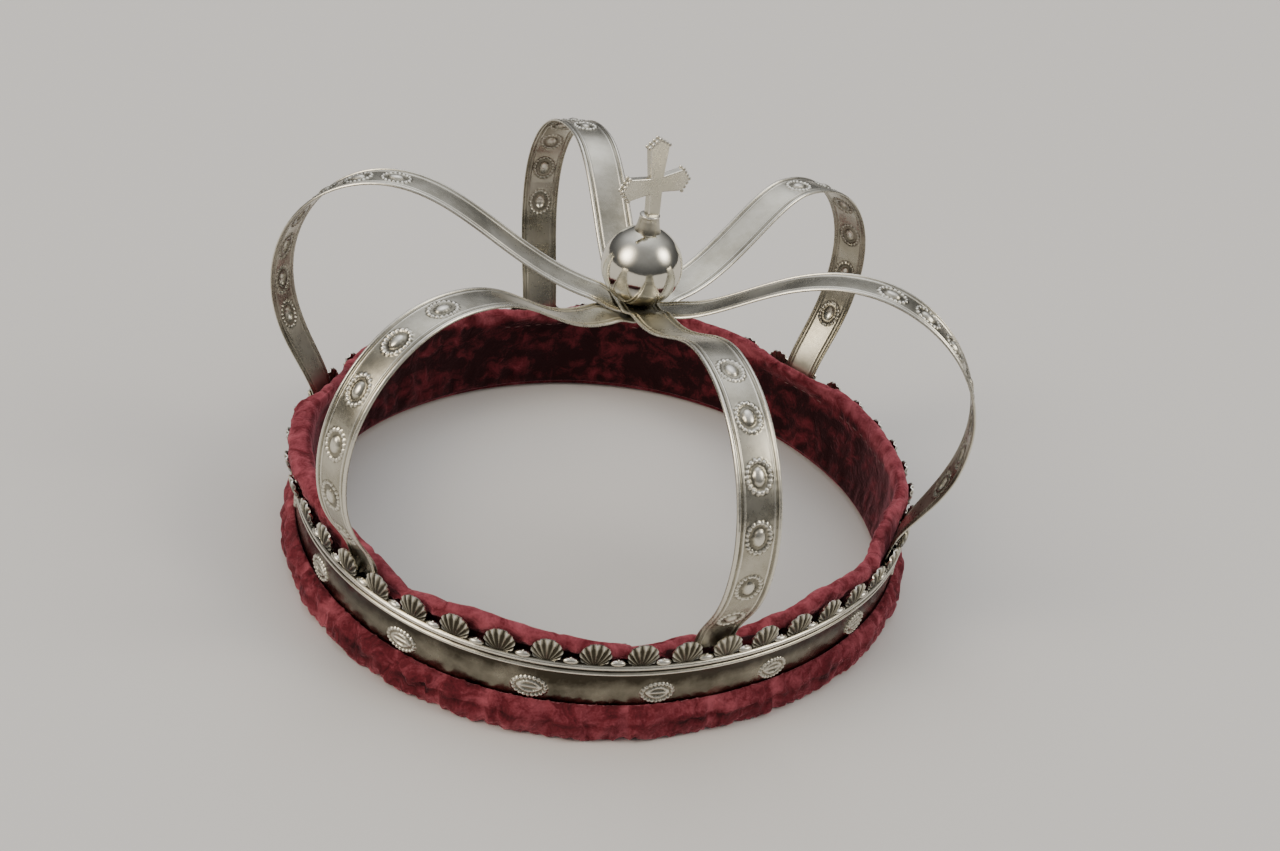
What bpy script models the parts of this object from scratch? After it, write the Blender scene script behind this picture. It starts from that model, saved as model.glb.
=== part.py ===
"""Bridal crown: a silver hoop with a shell crest, three straps, an orb, a cross and a velvet lining.

The origin is on the surface that the crown rests on, at the middle of the crown's box. +Z is up and -Y is
the front. Shapes are worked out about the middle of the hoop's plan, and new_object moves them to the origin.
"""

import math

import bmesh
import bpy
from mathutils import Matrix, Vector

# Plan of the hoop: a hand-bent oval, given as the band's outer face
BAND_RADIUS = 0.0982
PLAN_BENDS = (
    # bulges round the plan, how far they stand out, azimuth of one of them in degrees
    (2, 0.0029, 33.0),
    (3, 0.0005, -7.0),
    (4, 0.0006, -24.0),
)
BOX_CENTRE = Vector((-0.0016, 0.0021, 0.0))

# Band: offsets from the plan, heights from the surface
BAND_STEPS = 96
BAND_SECTION = (
    # place on the section, offset, height
    ("inner foot", -0.0020, 0.0040),
    ("outer foot", -0.0012, 0.0040),
    ("under the ridge", -0.0006, 0.0214),
    ("lower ridge", 0.0001, 0.0224),
    ("groove", -0.0006, 0.0235),
    ("upper ridge", 0.0002, 0.0246),
    ("outer rim", -0.0006, 0.0258),
    ("inner rim", -0.0014, 0.0258),
)

# Crest of shells, with a bead between each two
CREST_AZIMUTH = math.radians(-91.3)
SHELL_COUNT = 48
SHELL_RADIUS = 0.0044
SHELL_NOTCH = 0.0004
SHELL_RIBS = 5
SHELL_FAN_START = -38.0
SHELL_FAN = 256.0
SHELL_HINGE_HALF = 0.0013
SHELL_HINGE_HEIGHT = 0.0011
SHELL_THICKNESS = 0.0007
SHELL_RELIEF = 0.0006
SHELL_BASE_HEIGHT = 0.0253
SHELL_RISE = 0.0043
SHELL_OFFSET = -0.0012
SHELL_LEAN = math.radians(9.0)

# The left side, where the thick fold of the velvet presses the crest outwards
SPLAY_AZIMUTH = math.radians(178.0)
SPLAY_HALF_WIDTH = math.radians(8.0)
SPLAY_FADE = math.radians(18.0)
SHELL_SPLAY = math.radians(15.0)
FOLD_SPLAY = 0.0030
CREST_BEAD_RADIUS = 0.0012
CREST_BEAD_LENGTH = 0.0012
CREST_BEAD_HEIGHT = 0.0266

# Rosettes of the band, one under every third pair of shells
ROSETTE_COUNT = 16
ROSETTE_HEIGHT = 0.0148
ROSETTE_OFFSET = -0.0008
BAND_ROSETTE_SIZE = (0.0105, 0.0074)
ROSETTE_RELIEF = 0.0007
ROSETTE_SINK = 0.0004
ROSETTE_SIDES = 8

# Hub where the straps cross, a little off the middle
HUB = Vector((0.0013, 0.0, 0.0))
HUB_FLAT = 0.0050
LOWEST_STRAP_HEIGHT = 0.0831
STRAP_STACK = 0.0013
CROSSING_REACH = 0.0140
CROSSING_RISE = 0.0026

# Arches: azimuth from the hub in degrees, distance and height of the widest place and of the highest place,
# how far the top runs on level and the crossing runs on straight, as shares of the way between them,
# and the slope beside the hub
ARCHES = {
    # name: azimuth, widest distance, widest height, highest distance, highest height,
    # level share, straight share, hub slope
    "front_left": (-145.5, 0.1125, 0.065, 0.073, 0.1050, 0.46, 0.45, 0.03),
    "front": (-83.0, 0.1055, 0.065, 0.064, 0.1035, 0.36, 0.45, 0.05),
    "right": (-30.0, 0.1065, 0.072, 0.068, 0.1105, 0.45, 0.30, 0.25),
    "back_right": (34.0, 0.1115, 0.070, 0.070, 0.1090, 0.28, 0.45, 0.05),
    "back": (96.0, 0.1100, 0.076, 0.061, 0.1145, 0.40, 0.30, 0.35),
    "left": (159.5, 0.1113, 0.072, 0.076, 0.1105, 0.35, 0.40, 0.16),
}
# How far the outer limb of an arch is turned about the upright, away from square to the arch
LIMB_TURNS = {
    "front_left": 0.0,
    "front": 0.0,
    "right": math.radians(12.0),
    "back_right": math.radians(8.0),
    "back": math.radians(-8.0),
    "left": math.radians(-12.0),
}
FOOT_HANDLE = 0.014
WIDEST_HANDLE = 0.022
QUARTER_HANDLE = 0.5523
HUB_HANDLE = 0.35
ARCH_STEPS = (7, 7, 7, 3)
STRAPS = (
    # name, first arch, second arch, place in the stack
    ("strap_front_left_back_right", "front_left", "back_right", 0),
    ("strap_left_right", "left", "right", 1),
    ("strap_front_back", "front", "back", 2),
)

# Strap: a flat strip with two raised rims
STRAP_WIDTH = 0.0128
STRAP_INNER_FACE = -0.00030
STRAP_FIELD = 0.00015
STRAP_RIM = 0.00050
STRAP_RIM_WIDTH = 0.0010
STRAP_RIM_SLOPE = 0.0005
STRAP_FOOT_OFFSET = -0.00290
STRAP_FOOT_HEIGHT = 0.0120
STRAP_FREE_HEIGHT = 0.0260
STRAP_SQUARE_HEIGHT = 0.0600
STRAP_ROSETTE_SIZE = (0.0082, 0.0100)
# Rosettes of each arch from where it leaves the band: the first one, and the step to the next
STRAP_ROSETTE_ROWS = {
    "front_left": (0.0191, 0.0160),
    "front": (0.0183, 0.0159),
    "right": (0.0301, 0.0120),
    "back_right": (0.0284, 0.0160),
    "back": (0.0457, 0.0136),
    "left": (0.0344, 0.0120),
}

# Orb, cross and rivet
ORB_RADIUS = 0.0123
ORB_HEIGHT = 0.0979
ORB_SEAT_HEIGHT = 0.0862
RIVET_RADIUS = 0.0016
RIVET_GAP = 0.0003
RIVET_TOP = 0.0920
RIVET_HEAD_RADIUS = 0.0042
RIVET_HEAD_HEIGHT = 0.0016
CUTTER_LENGTH = 0.0100
SOCKET_BASE_RADIUS = 0.0037
SOCKET_TOP_RADIUS = 0.0022
SOCKET_BASE_HEIGHT = 0.1096
SOCKET_TOP_HEIGHT = 0.1142
SOCKET_GAP = 0.0003
CROSS_HEIGHT = 0.1243
CROSS_THICKNESS = 0.0024
CROSS_ROOT_WIDTH = 0.0046
CROSS_END_WIDTH = 0.0064
CROSS_SIDE_ARM = 0.0116
CROSS_TOP_ARM = 0.0143
CROSS_POINT = 0.0022
CROSS_SINK = 0.0010
CROSS_TURN = math.radians(22.0)
CROSS_LEAN = math.radians(-4.0)

# Velvet: offsets from the plan, heights from the surface
VELVET_STEPS = 72
VELVET_SECTION = (
    # place on the section, offset, height
    ("hem foot inside", -0.0022, 0.0000),
    ("hem foot outside", 0.0018, 0.0000),
    ("hem outside low", 0.0033, 0.0015),
    ("hem outside", 0.0037, 0.0044),
    ("hem shoulder", 0.0028, 0.0080),
    ("hem lip", 0.0004, 0.0102),
    ("lip at the band", -0.0007, 0.0092),
    ("under the band outside", -0.0008, 0.0036),
    ("under the band inside", -0.0024, 0.0036),
    ("inside the band", -0.0024, 0.0092),
    ("sleeve outside low", -0.0036, 0.0112),
    ("sleeve outside high", -0.0036, 0.0262),
    ("fold outside", -0.0016, 0.0300),
    ("fold outside top", -0.0016, 0.0332),
    ("fold top", -0.0038, 0.0344),
    ("fold inside top", -0.0058, 0.0330),
    ("fold inside", -0.0062, 0.0300),
    ("sleeve inside high", -0.0055, 0.0262),
    ("sleeve inside low", -0.0055, 0.0060),
    ("hem inside", -0.0042, 0.0012),
)
VELVET_EDGE = (
    # azimuth in degrees, how far the folded edge stands above its mean height
    (-172, 0.0020),
    (-156, 0.0010),
    (-148, -0.0024),
    (-138, -0.0052),
    (-130, -0.0018),
    (-122, -0.0002),
    (-113, -0.0015),
    (-94, -0.0052),
    (-83, -0.0056),
    (-76, -0.0062),
    (-69, -0.0022),
    (-58, 0.0010),
    (-44, -0.0008),
    (-28, 0.0004),
    (-12, 0.0010),
    (15, 0.0002),
    (36, -0.0014),
    (60, 0.0010),
    (97, 0.0000),
    (125, 0.0016),
    (150, 0.0008),
    (158, 0.0022),
    (165, 0.0042),
    (174, 0.0030),
)
VELVET_FOLD_START = 0.0262
VELVET_FOLD_END = 0.0320
VELVET_FOLD_INNER = -0.0060
VELVET_FOLD_OUTER = -0.0020
VELVET_PUSH = 0.0024
VELVET_PUSH_HALF_WIDTH = math.radians(4.6)
VELVET_PUSH_FADE = math.radians(7.0)
HEM_PUFF = 0.0004
HEM_PUFF_COUNT = 11
HEM_PUFF_START = 0.0018
HEM_PUFF_END = 0.0033

SMOOTH_ANGLE = math.radians(35.0)


def clear_scene():
    for item in list(bpy.data.objects):
        bpy.data.objects.remove(item, do_unlink=True)


def new_collection(name):
    collection = bpy.data.collections.new(name)
    bpy.context.scene.collection.children.link(collection)
    return collection


def new_material(name, colour, roughness, metallic):
    material = bpy.data.materials.new(name)
    material.use_nodes = True
    shader = material.node_tree.nodes["Principled BSDF"]
    shader.inputs["Base Color"].default_value = (*colour, 1.0)
    shader.inputs["Roughness"].default_value = roughness
    shader.inputs["Metallic"].default_value = metallic
    material.diffuse_color = (*colour, 1.0)
    return material


def new_object(name, bm, collection, material):
    """Store a finished bmesh as a smooth-shaded object, about the crown's origin."""
    bm.transform(Matrix.Translation(-BOX_CENTRE))
    bmesh.ops.recalc_face_normals(bm, faces=bm.faces)
    mesh = bpy.data.meshes.new(name)
    bm.to_mesh(mesh)
    bm.free()
    mesh.materials.append(material)
    mesh.shade_smooth()
    mesh.set_sharp_from_angle(angle=SMOOTH_ANGLE)
    item = bpy.data.objects.new(name, mesh)
    collection.objects.link(item)
    return item


def hide_helper(item):
    item.hide_render = True
    item.display_type = "WIRE"


def boolean(item, other, operation):
    modifier = item.modifiers.new(other.name, "BOOLEAN")
    modifier.operation = operation
    modifier.object = other
    modifier.solver = "EXACT"


def smooth_step(value, start, end):
    share = min(max((value - start) / (end - start), 0.0), 1.0)
    return share * share * (3.0 - 2.0 * share)


def angle_between(azimuth, other):
    """The unsigned angle between two azimuths."""
    return abs((azimuth - other + math.pi) % (2.0 * math.pi) - math.pi)


def plan_radius(azimuth):
    """Distance from the origin to the band's outer face."""
    radius = BAND_RADIUS
    for count, swell, degrees in PLAN_BENDS:
        radius += swell * math.cos(count * (azimuth - math.radians(degrees)))
    return radius


def plan_point(azimuth, offset, height):
    radius = plan_radius(azimuth) + offset
    return Vector((radius * math.cos(azimuth), radius * math.sin(azimuth), height))


def plan_frame(azimuth, offset, height):
    """A frame on the band: X along it, Y outwards and Z up."""
    nearby = math.radians(0.5)
    along = plan_point(azimuth + nearby, offset, 0.0) - plan_point(azimuth - nearby, offset, 0.0)
    along.normalize()
    up = Vector((0.0, 0.0, 1.0))
    outward = along.cross(up)
    turn = Matrix((along * -1.0, outward, up)).transposed().to_4x4()
    return Matrix.Translation(plan_point(azimuth, offset, height)) @ turn


def spun_ring(section, steps, reshape):
    """Spin a closed section once round, then move each point to the oval plan."""
    bm = bmesh.new()
    corners = [bm.verts.new((BAND_RADIUS + offset, 0.0, height)) for _, offset, height in section]
    for corner, following in zip(corners, corners[1:] + corners[:1]):
        bm.edges.new((corner, following))
    bmesh.ops.spin(
        bm,
        geom=bm.verts[:] + bm.edges[:],
        cent=(0.0, 0.0, 0.0),
        axis=(0.0, 0.0, 1.0),
        angle=2.0 * math.pi,
        steps=steps,
        use_merge=True,
    )
    for vert in bm.verts:
        azimuth = math.atan2(vert.co.y, vert.co.x)
        offset = math.hypot(vert.co.x, vert.co.y) - BAND_RADIUS
        vert.co = plan_point(azimuth, *reshape(azimuth, offset, vert.co.z))
    return bm


def add_copy(target, source, matrix):
    """Add a small bmesh to a larger one, moved by a matrix."""
    mesh = bpy.data.meshes.new("copy")
    source.to_mesh(mesh)
    mesh.transform(matrix)
    target.from_mesh(mesh)
    bpy.data.meshes.remove(mesh)


def splay_share(azimuth):
    """How much of the left side's outward press reaches an azimuth."""
    away = angle_between(azimuth, SPLAY_AZIMUTH)
    return 1.0 - smooth_step(away, SPLAY_HALF_WIDTH, SPLAY_HALF_WIDTH + SPLAY_FADE)


def shell_shape():
    """One scallop shell, standing on its hinge with its ribs towards +Y."""
    bm = bmesh.new()
    outline = [(SHELL_HINGE_HALF, 0.0)]
    for index in range(2 * SHELL_RIBS - 1):
        angle = math.radians(SHELL_FAN_START + SHELL_FAN * index / (2 * SHELL_RIBS - 2))
        radius = SHELL_RADIUS - (SHELL_NOTCH if index % 2 else 0.0)
        outline.append((radius * math.cos(angle), SHELL_RISE + radius * math.sin(angle)))
    outline.append((-SHELL_HINGE_HALF, 0.0))
    back = bm.faces.new([bm.verts.new((across, 0.0, up)) for across, up in outline])
    extruded = bmesh.ops.extrude_face_region(bm, geom=[back], use_keep_orig=True)["geom"]
    front = next(part for part in extruded if isinstance(part, bmesh.types.BMFace))
    for vert in front.verts:
        vert.co.y += SHELL_THICKNESS
        is_rib = math.hypot(vert.co.x, vert.co.z - SHELL_RISE) > SHELL_RADIUS - 0.5 * SHELL_NOTCH
        if is_rib and vert.co.z > 0.0:
            vert.co.y += SHELL_RELIEF
    hinge = bmesh.ops.poke(bm, faces=[front])["verts"][0]
    hinge.co = (0.0, SHELL_THICKNESS + SHELL_RELIEF, SHELL_HINGE_HEIGHT)
    return bm


def rosette_shape(size):
    """One low oval rosette: a raised rim and a domed middle, with its face towards +Z."""
    bm = bmesh.new()
    depth = ROSETTE_RELIEF + ROSETTE_SINK
    bmesh.ops.create_cone(
        bm,
        cap_ends=True,
        segments=ROSETTE_SIDES,
        radius1=0.5,
        radius2=0.45,
        depth=depth,
        matrix=Matrix.Translation((0.0, 0.0, 0.5 * depth - ROSETTE_SINK)),
    )
    top = max(bm.faces, key=lambda face: face.calc_center_median().z)
    bmesh.ops.inset_region(bm, faces=[top], thickness=0.12, depth=0.0)
    for vert in top.verts:
        vert.co.z -= 0.5 * ROSETTE_RELIEF
    middle = bmesh.ops.poke(bm, faces=[top])["verts"][0]
    middle.co.z += 0.6 * ROSETTE_RELIEF
    bmesh.ops.scale(bm, vec=(size[0], size[1], 1.0), verts=bm.verts)
    return bm


def build_band(collection, helpers, silver):
    bm = spun_ring(BAND_SECTION, BAND_STEPS, lambda azimuth, offset, height: (offset, height))
    band = new_object("band", bm, collection, silver)

    crest = bmesh.new()
    shell = shell_shape()
    bead = bmesh.new()
    bmesh.ops.create_cone(
        bead,
        cap_ends=True,
        segments=6,
        radius1=CREST_BEAD_RADIUS,
        radius2=0.4 * CREST_BEAD_RADIUS,
        depth=CREST_BEAD_LENGTH,
        matrix=Matrix.Translation((0.0, 0.0, 0.5 * CREST_BEAD_LENGTH)),
    )
    pitch = 2.0 * math.pi / SHELL_COUNT
    for index in range(SHELL_COUNT):
        azimuth = CREST_AZIMUTH + (index + 0.5) * pitch
        lean = Matrix.Rotation(-SHELL_LEAN - SHELL_SPLAY * splay_share(azimuth), 4, "X")
        add_copy(crest, shell, plan_frame(azimuth, SHELL_OFFSET, SHELL_BASE_HEIGHT) @ lean)
        place = plan_frame(azimuth + 0.5 * pitch, SHELL_OFFSET, CREST_BEAD_HEIGHT)
        add_copy(crest, bead, place @ Matrix.Rotation(math.radians(-90.0), 4, "X"))
    shell.free()
    bead.free()
    boolean(band, helper_object("crest", crest, helpers, silver), "UNION")

    rosettes = bmesh.new()
    rosette = rosette_shape(BAND_ROSETTE_SIZE)
    face_out = Matrix.Rotation(math.radians(-90.0), 4, "X")
    for index in range(ROSETTE_COUNT):
        azimuth = CREST_AZIMUTH + 2.0 * math.pi * index / ROSETTE_COUNT
        add_copy(rosettes, rosette, plan_frame(azimuth, ROSETTE_OFFSET, ROSETTE_HEIGHT) @ face_out)
    rosette.free()
    boolean(band, helper_object("band_rosettes", rosettes, helpers, silver), "UNION")
    return band


def helper_object(name, bm, helpers, material):
    item = new_object(name, bm, helpers, material)
    hide_helper(item)
    return item


def bezier(start, start_handle, end_handle, end, steps):
    """Points on one Bezier span, without its first point."""
    points = []
    for index in range(1, steps + 1):
        t = index / steps
        s = 1.0 - t
        points.append(
            start * s**3 + start_handle * 3 * s * s * t + end_handle * 3 * s * t * t + end * t**3
        )
    return points


def foot_distance(azimuth):
    """How far from the hub an arch stands between the band and the velvet."""
    direction = Vector((math.cos(azimuth), math.sin(azimuth), 0.0))
    distance = BAND_RADIUS
    for _ in range(6):
        place = HUB + direction * distance
        wanted = plan_radius(math.atan2(place.y, place.x)) + STRAP_FOOT_OFFSET
        distance += wanted - math.hypot(place.x, place.y)
    return distance


def arch_profile(name, hub_height):
    """Distance from the hub and height along one arch, from its foot to the hub."""
    degrees, reach, reach_height, top, top_height, level_share, straight_share, slope = ARCHES[name]
    foot = foot_distance(math.radians(degrees))
    low = Vector((foot, STRAP_FOOT_HEIGHT))
    free = Vector((foot, STRAP_FREE_HEIGHT))
    widest = Vector((reach, reach_height))
    highest = Vector((top, top_height))
    crossing = Vector((CROSSING_REACH, hub_height + CROSSING_RISE))
    level = Vector((HUB_FLAT, hub_height))
    rise = Vector((0.0, 1.0))
    inward = Vector((-1.0, 0.0))
    fall = Vector((-1.0, -slope))
    to_widest, to_highest, to_crossing, to_level = ARCH_STEPS
    points = [low, free]
    points += bezier(free, free + rise * FOOT_HANDLE, widest - rise * WIDEST_HANDLE, widest, to_widest)
    up_handle = widest + rise * QUARTER_HANDLE * (top_height - reach_height)
    top_handle = highest - inward * QUARTER_HANDLE * (reach - top)
    points += bezier(widest, up_handle, top_handle, highest, to_highest)
    span = top - CROSSING_REACH
    down_handle = highest + inward * level_share * span
    crossing_handle = crossing - fall * straight_share * span
    points += bezier(highest, down_handle, crossing_handle, crossing, to_crossing)
    handle = HUB_HANDLE * (CROSSING_REACH - HUB_FLAT)
    points += bezier(crossing, crossing + fall * handle, level - inward * handle, level, to_level)
    points.append(Vector((0.0, hub_height)))
    return points


def limb_turn(name, distance, height):
    """Turn of an arch's width about the upright: full up to the widest place, none from the top inwards."""
    _, reach, reach_height, top, *_ = ARCHES[name]
    share = 1.0 if height < reach_height else smooth_step(distance, top, reach)
    return Matrix.Rotation(LIMB_TURNS[name] * share, 3, "Z")


def strap_path(first, second, hub_height):
    """Points of one strap with the way its width runs at each, foot to foot."""
    first_azimuth = math.radians(ARCHES[first][0])
    second_azimuth = math.radians(ARCHES[second][0])
    out = Vector((math.cos(first_azimuth), math.sin(first_azimuth), 0.0))
    back = Vector((math.cos(second_azimuth), math.sin(second_azimuth), 0.0))
    up = Vector((0.0, 0.0, 1.0))
    rising = arch_profile(first, hub_height)
    falling = arch_profile(second, hub_height)[:-1]
    path = []
    for name, direction, across, profile in (
        (first, out, up.cross(-out), rising),
        (second, back, up.cross(back), falling[::-1]),
    ):
        for distance, height in profile:
            point = HUB + direction * distance + up * height
            azimuth = math.atan2(point.y, point.x)
            tangent = plan_frame(azimuth, 0.0, 0.0).to_3x3().col[0]
            if tangent.dot(across) < 0.0:
                tangent = -tangent
            held = 1.0 - smooth_step(height, STRAP_FREE_HEIGHT, STRAP_SQUARE_HEIGHT)
            turned = limb_turn(name, distance, height) @ across
            side = (turned * (1.0 - held) + tangent * held).normalized()
            path.append((point, side))
    middle = len(rising) - 1
    point, _ = path[middle]
    path[middle] = (point, (up.cross(-out) + up.cross(back)).normalized())
    return path


def path_frames(path):
    """A frame at each point of a strap: X across it, Y along it and Z out of its face."""
    frames = []
    for index, (point, side) in enumerate(path):
        before = path[max(index - 1, 0)][0]
        after = path[min(index + 1, len(path) - 1)][0]
        along = (after - before).normalized()
        face = along.cross(side).normalized()
        across = along.cross(face)
        turn = Matrix((across, along, face)).transposed().to_4x4()
        frames.append(Matrix.Translation(point) @ turn)
    return frames


def strap_section():
    half = 0.5 * STRAP_WIDTH
    rim = half - STRAP_RIM_WIDTH
    field = rim - STRAP_RIM_SLOPE
    right = [(half, STRAP_INNER_FACE), (half, STRAP_RIM), (rim, STRAP_RIM), (field, STRAP_FIELD)]
    left = [(-across, face) for across, face in reversed(right)]
    return [Vector((across, 0.0, face)) for across, face in right + left]


def loft(section, frames):
    """A closed strip through the same section at each frame."""
    bm = bmesh.new()
    rings = [[bm.verts.new(frame @ corner) for corner in section] for frame in frames]
    for ring, following in zip(rings, rings[1:]):
        for index in range(len(section)):
            other = (index + 1) % len(section)
            bm.faces.new((ring[index], ring[other], following[other], following[index]))
    bm.faces.new(rings[0])
    bm.faces.new(rings[-1])
    return bm


def rosette_frames(name, frames, rising_steps):
    """Frames along one rising arch, one for each rosette."""
    placed = []
    length = 0.0
    wanted, pitch = STRAP_ROSETTE_ROWS[name]
    for frame, following in zip(frames[1:rising_steps], frames[2 : rising_steps + 1]):
        step = (following.translation - frame.translation).length
        while wanted < length + step:
            placed.append(frame.lerp(following, (wanted - length) / step))
            wanted += pitch
        length += step
    return placed


def build_strap(name, first, second, place, collection, helpers, silver):
    hub_height = LOWEST_STRAP_HEIGHT + place * STRAP_STACK
    frames = path_frames(strap_path(first, second, hub_height))
    strap = new_object(name, loft(strap_section(), frames), collection, silver)

    rosettes = bmesh.new()
    rosette = rosette_shape(STRAP_ROSETTE_SIZE)
    lift = Matrix.Translation((0.0, 0.0, STRAP_FIELD))
    to_top = 1 + ARCH_STEPS[0] + ARCH_STEPS[1]
    rising = rosette_frames(first, frames, to_top)
    falling = rosette_frames(second, frames[::-1], to_top)
    for frame in rising + falling:
        add_copy(rosettes, rosette, frame @ lift)
    rosette.free()
    boolean(strap, helper_object(name + "_rosettes", rosettes, helpers, silver), "UNION")

    hole = bmesh.new()
    bmesh.ops.create_cone(
        hole,
        cap_ends=True,
        segments=16,
        radius1=RIVET_RADIUS + RIVET_GAP,
        radius2=RIVET_RADIUS + RIVET_GAP,
        depth=CUTTER_LENGTH,
        matrix=Matrix.Translation(HUB + Vector((0.0, 0.0, hub_height))),
    )
    boolean(strap, helper_object(name + "_hole", hole, helpers, silver), "DIFFERENCE")
    return strap


def build_orb(collection, helpers, silver):
    bm = bmesh.new()
    centre = HUB + Vector((0.0, 0.0, ORB_HEIGHT))
    bmesh.ops.create_uvsphere(
        bm, u_segments=20, v_segments=12, radius=ORB_RADIUS, matrix=Matrix.Translation(centre)
    )
    bmesh.ops.bisect_plane(
        bm,
        geom=bm.verts[:] + bm.edges[:] + bm.faces[:],
        plane_co=(0.0, 0.0, ORB_SEAT_HEIGHT),
        plane_no=(0.0, 0.0, -1.0),
        clear_outer=True,
    )
    bmesh.ops.holes_fill(bm, edges=[edge for edge in bm.edges if edge.is_boundary])
    bmesh.ops.bisect_plane(
        bm,
        geom=bm.verts[:] + bm.edges[:] + bm.faces[:],
        plane_co=(0.0, 0.0, SOCKET_BASE_HEIGHT - SOCKET_GAP),
        plane_no=(0.0, 0.0, 1.0),
        clear_outer=True,
    )
    bmesh.ops.holes_fill(bm, edges=[edge for edge in bm.edges if edge.is_boundary])
    orb = new_object("orb", bm, collection, silver)

    bore = bmesh.new()
    bore_top = RIVET_TOP + RIVET_GAP
    bmesh.ops.create_cone(
        bore,
        cap_ends=True,
        segments=16,
        radius1=RIVET_RADIUS + RIVET_GAP,
        radius2=RIVET_RADIUS + RIVET_GAP,
        depth=CUTTER_LENGTH,
        matrix=Matrix.Translation(HUB + Vector((0.0, 0.0, bore_top - 0.5 * CUTTER_LENGTH))),
    )
    boolean(orb, helper_object("orb_bore", bore, helpers, silver), "DIFFERENCE")
    return orb


def build_rivet(collection, silver):
    """The hidden rivet: a domed head under the straps and a straight shank."""
    head_top = LOWEST_STRAP_HEIGHT + STRAP_INNER_FACE - RIVET_GAP
    profile = (
        (0.0, RIVET_TOP),
        (RIVET_RADIUS, RIVET_TOP),
        (RIVET_RADIUS, head_top),
        (RIVET_HEAD_RADIUS, head_top),
        (0.8 * RIVET_HEAD_RADIUS, head_top - 0.7 * RIVET_HEAD_HEIGHT),
        (0.0, head_top - RIVET_HEAD_HEIGHT),
    )
    bm = bmesh.new()
    corners = [bm.verts.new((HUB.x + radius, HUB.y, height)) for radius, height in profile]
    edges = [bm.edges.new(pair) for pair in zip(corners, corners[1:])]
    bmesh.ops.spin(
        bm,
        geom=corners + edges,
        cent=HUB,
        axis=(0.0, 0.0, 1.0),
        angle=2.0 * math.pi,
        steps=16,
        use_merge=True,
    )
    bmesh.ops.remove_doubles(bm, verts=bm.verts, dist=0.00001)
    return new_object("hub_rivet", bm, collection, silver)


def cross_outline():
    """The cross's outline about its crossing, as one closed loop."""
    root = 0.5 * CROSS_ROOT_WIDTH
    end = 0.5 * CROSS_END_WIDTH
    stem = CROSS_HEIGHT - SOCKET_TOP_HEIGHT + CROSS_SINK
    right = [
        (0.8 * root, -stem),
        (root, -root),
        (CROSS_SIDE_ARM - CROSS_POINT, -end),
        (CROSS_SIDE_ARM, 0.0),
        (CROSS_SIDE_ARM - CROSS_POINT, end),
        (root, root),
        (end, CROSS_TOP_ARM - CROSS_POINT),
    ]
    left = [(-across, up) for across, up in reversed(right)]
    return right + [(0.0, CROSS_TOP_ARM)] + left


def build_cross(collection, helpers, silver):
    """The cross on its cone socket, turned a little and leaning a little, with the socket upright."""
    crossing = HUB + Vector((0.0, 0.0, CROSS_HEIGHT))
    bm = bmesh.new()
    half = 0.5 * CROSS_THICKNESS
    face = bm.faces.new([bm.verts.new((across, half, up)) for across, up in cross_outline()])
    extruded = bmesh.ops.extrude_face_region(bm, geom=[face], use_keep_orig=True)["geom"]
    for vert in [part for part in extruded if isinstance(part, bmesh.types.BMVert)]:
        vert.co.y = -half
    turn = Matrix.Rotation(CROSS_TURN, 4, "Z") @ Matrix.Rotation(CROSS_LEAN, 4, "Y")
    bm.transform(Matrix.Translation(crossing) @ turn)
    cross = new_object("cross", bm, collection, silver)

    socket = bmesh.new()
    height = SOCKET_TOP_HEIGHT - SOCKET_BASE_HEIGHT
    bmesh.ops.create_cone(
        socket,
        cap_ends=True,
        segments=16,
        radius1=SOCKET_BASE_RADIUS,
        radius2=SOCKET_TOP_RADIUS,
        depth=height,
        matrix=Matrix.Translation(HUB + Vector((0.0, 0.0, SOCKET_BASE_HEIGHT + 0.5 * height))),
    )
    boolean(cross, helper_object("socket", socket, helpers, silver), "UNION")
    return cross


def edge_rise(azimuth):
    """How far the velvet's folded edge stands above its mean height."""
    degrees = math.degrees(azimuth)
    rows = VELVET_EDGE + ((VELVET_EDGE[0][0] + 360, VELVET_EDGE[0][1]),)
    if degrees < rows[0][0]:
        degrees += 360.0
    for (start, low), (end, high) in zip(rows, rows[1:]):
        if degrees <= end:
            return low + (high - low) * smooth_step(degrees, start, end)
    return rows[-1][1]


def foot_azimuths():
    azimuths = []
    for degrees, *_ in ARCHES.values():
        azimuth = math.radians(degrees)
        foot = HUB + Vector((math.cos(azimuth), math.sin(azimuth), 0.0)) * foot_distance(azimuth)
        azimuths.append(math.atan2(foot.y, foot.x))
    return azimuths


def build_velvet(collection, velvet):
    feet = foot_azimuths()

    def reshape(azimuth, offset, height):
        """Wave the folded edge, push it in at the strap feet, and puff the hem."""
        nearest = min(angle_between(azimuth, foot) for foot in feet)
        fade_end = VELVET_PUSH_HALF_WIDTH + VELVET_PUSH_FADE
        pushed = 1.0 - smooth_step(nearest, VELVET_PUSH_HALF_WIDTH, fade_end)
        fold_share = smooth_step(height, VELVET_FOLD_START, VELVET_FOLD_END)
        outer_share = smooth_step(offset, HEM_PUFF_START, HEM_PUFF_END)
        puff = HEM_PUFF * math.sin(HEM_PUFF_COUNT * azimuth) * outer_share
        bulge = FOLD_SPLAY * splay_share(azimuth) * smooth_step(offset, VELVET_FOLD_INNER, VELVET_FOLD_OUTER)
        shift = bulge * (1.0 - pushed) - VELVET_PUSH * pushed
        new_offset = offset + shift * fold_share + puff
        return new_offset, height + edge_rise(azimuth) * fold_share

    bm = spun_ring(VELVET_SECTION, VELVET_STEPS, reshape)
    return new_object("velvet_lining", bm, collection, velvet)


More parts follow.
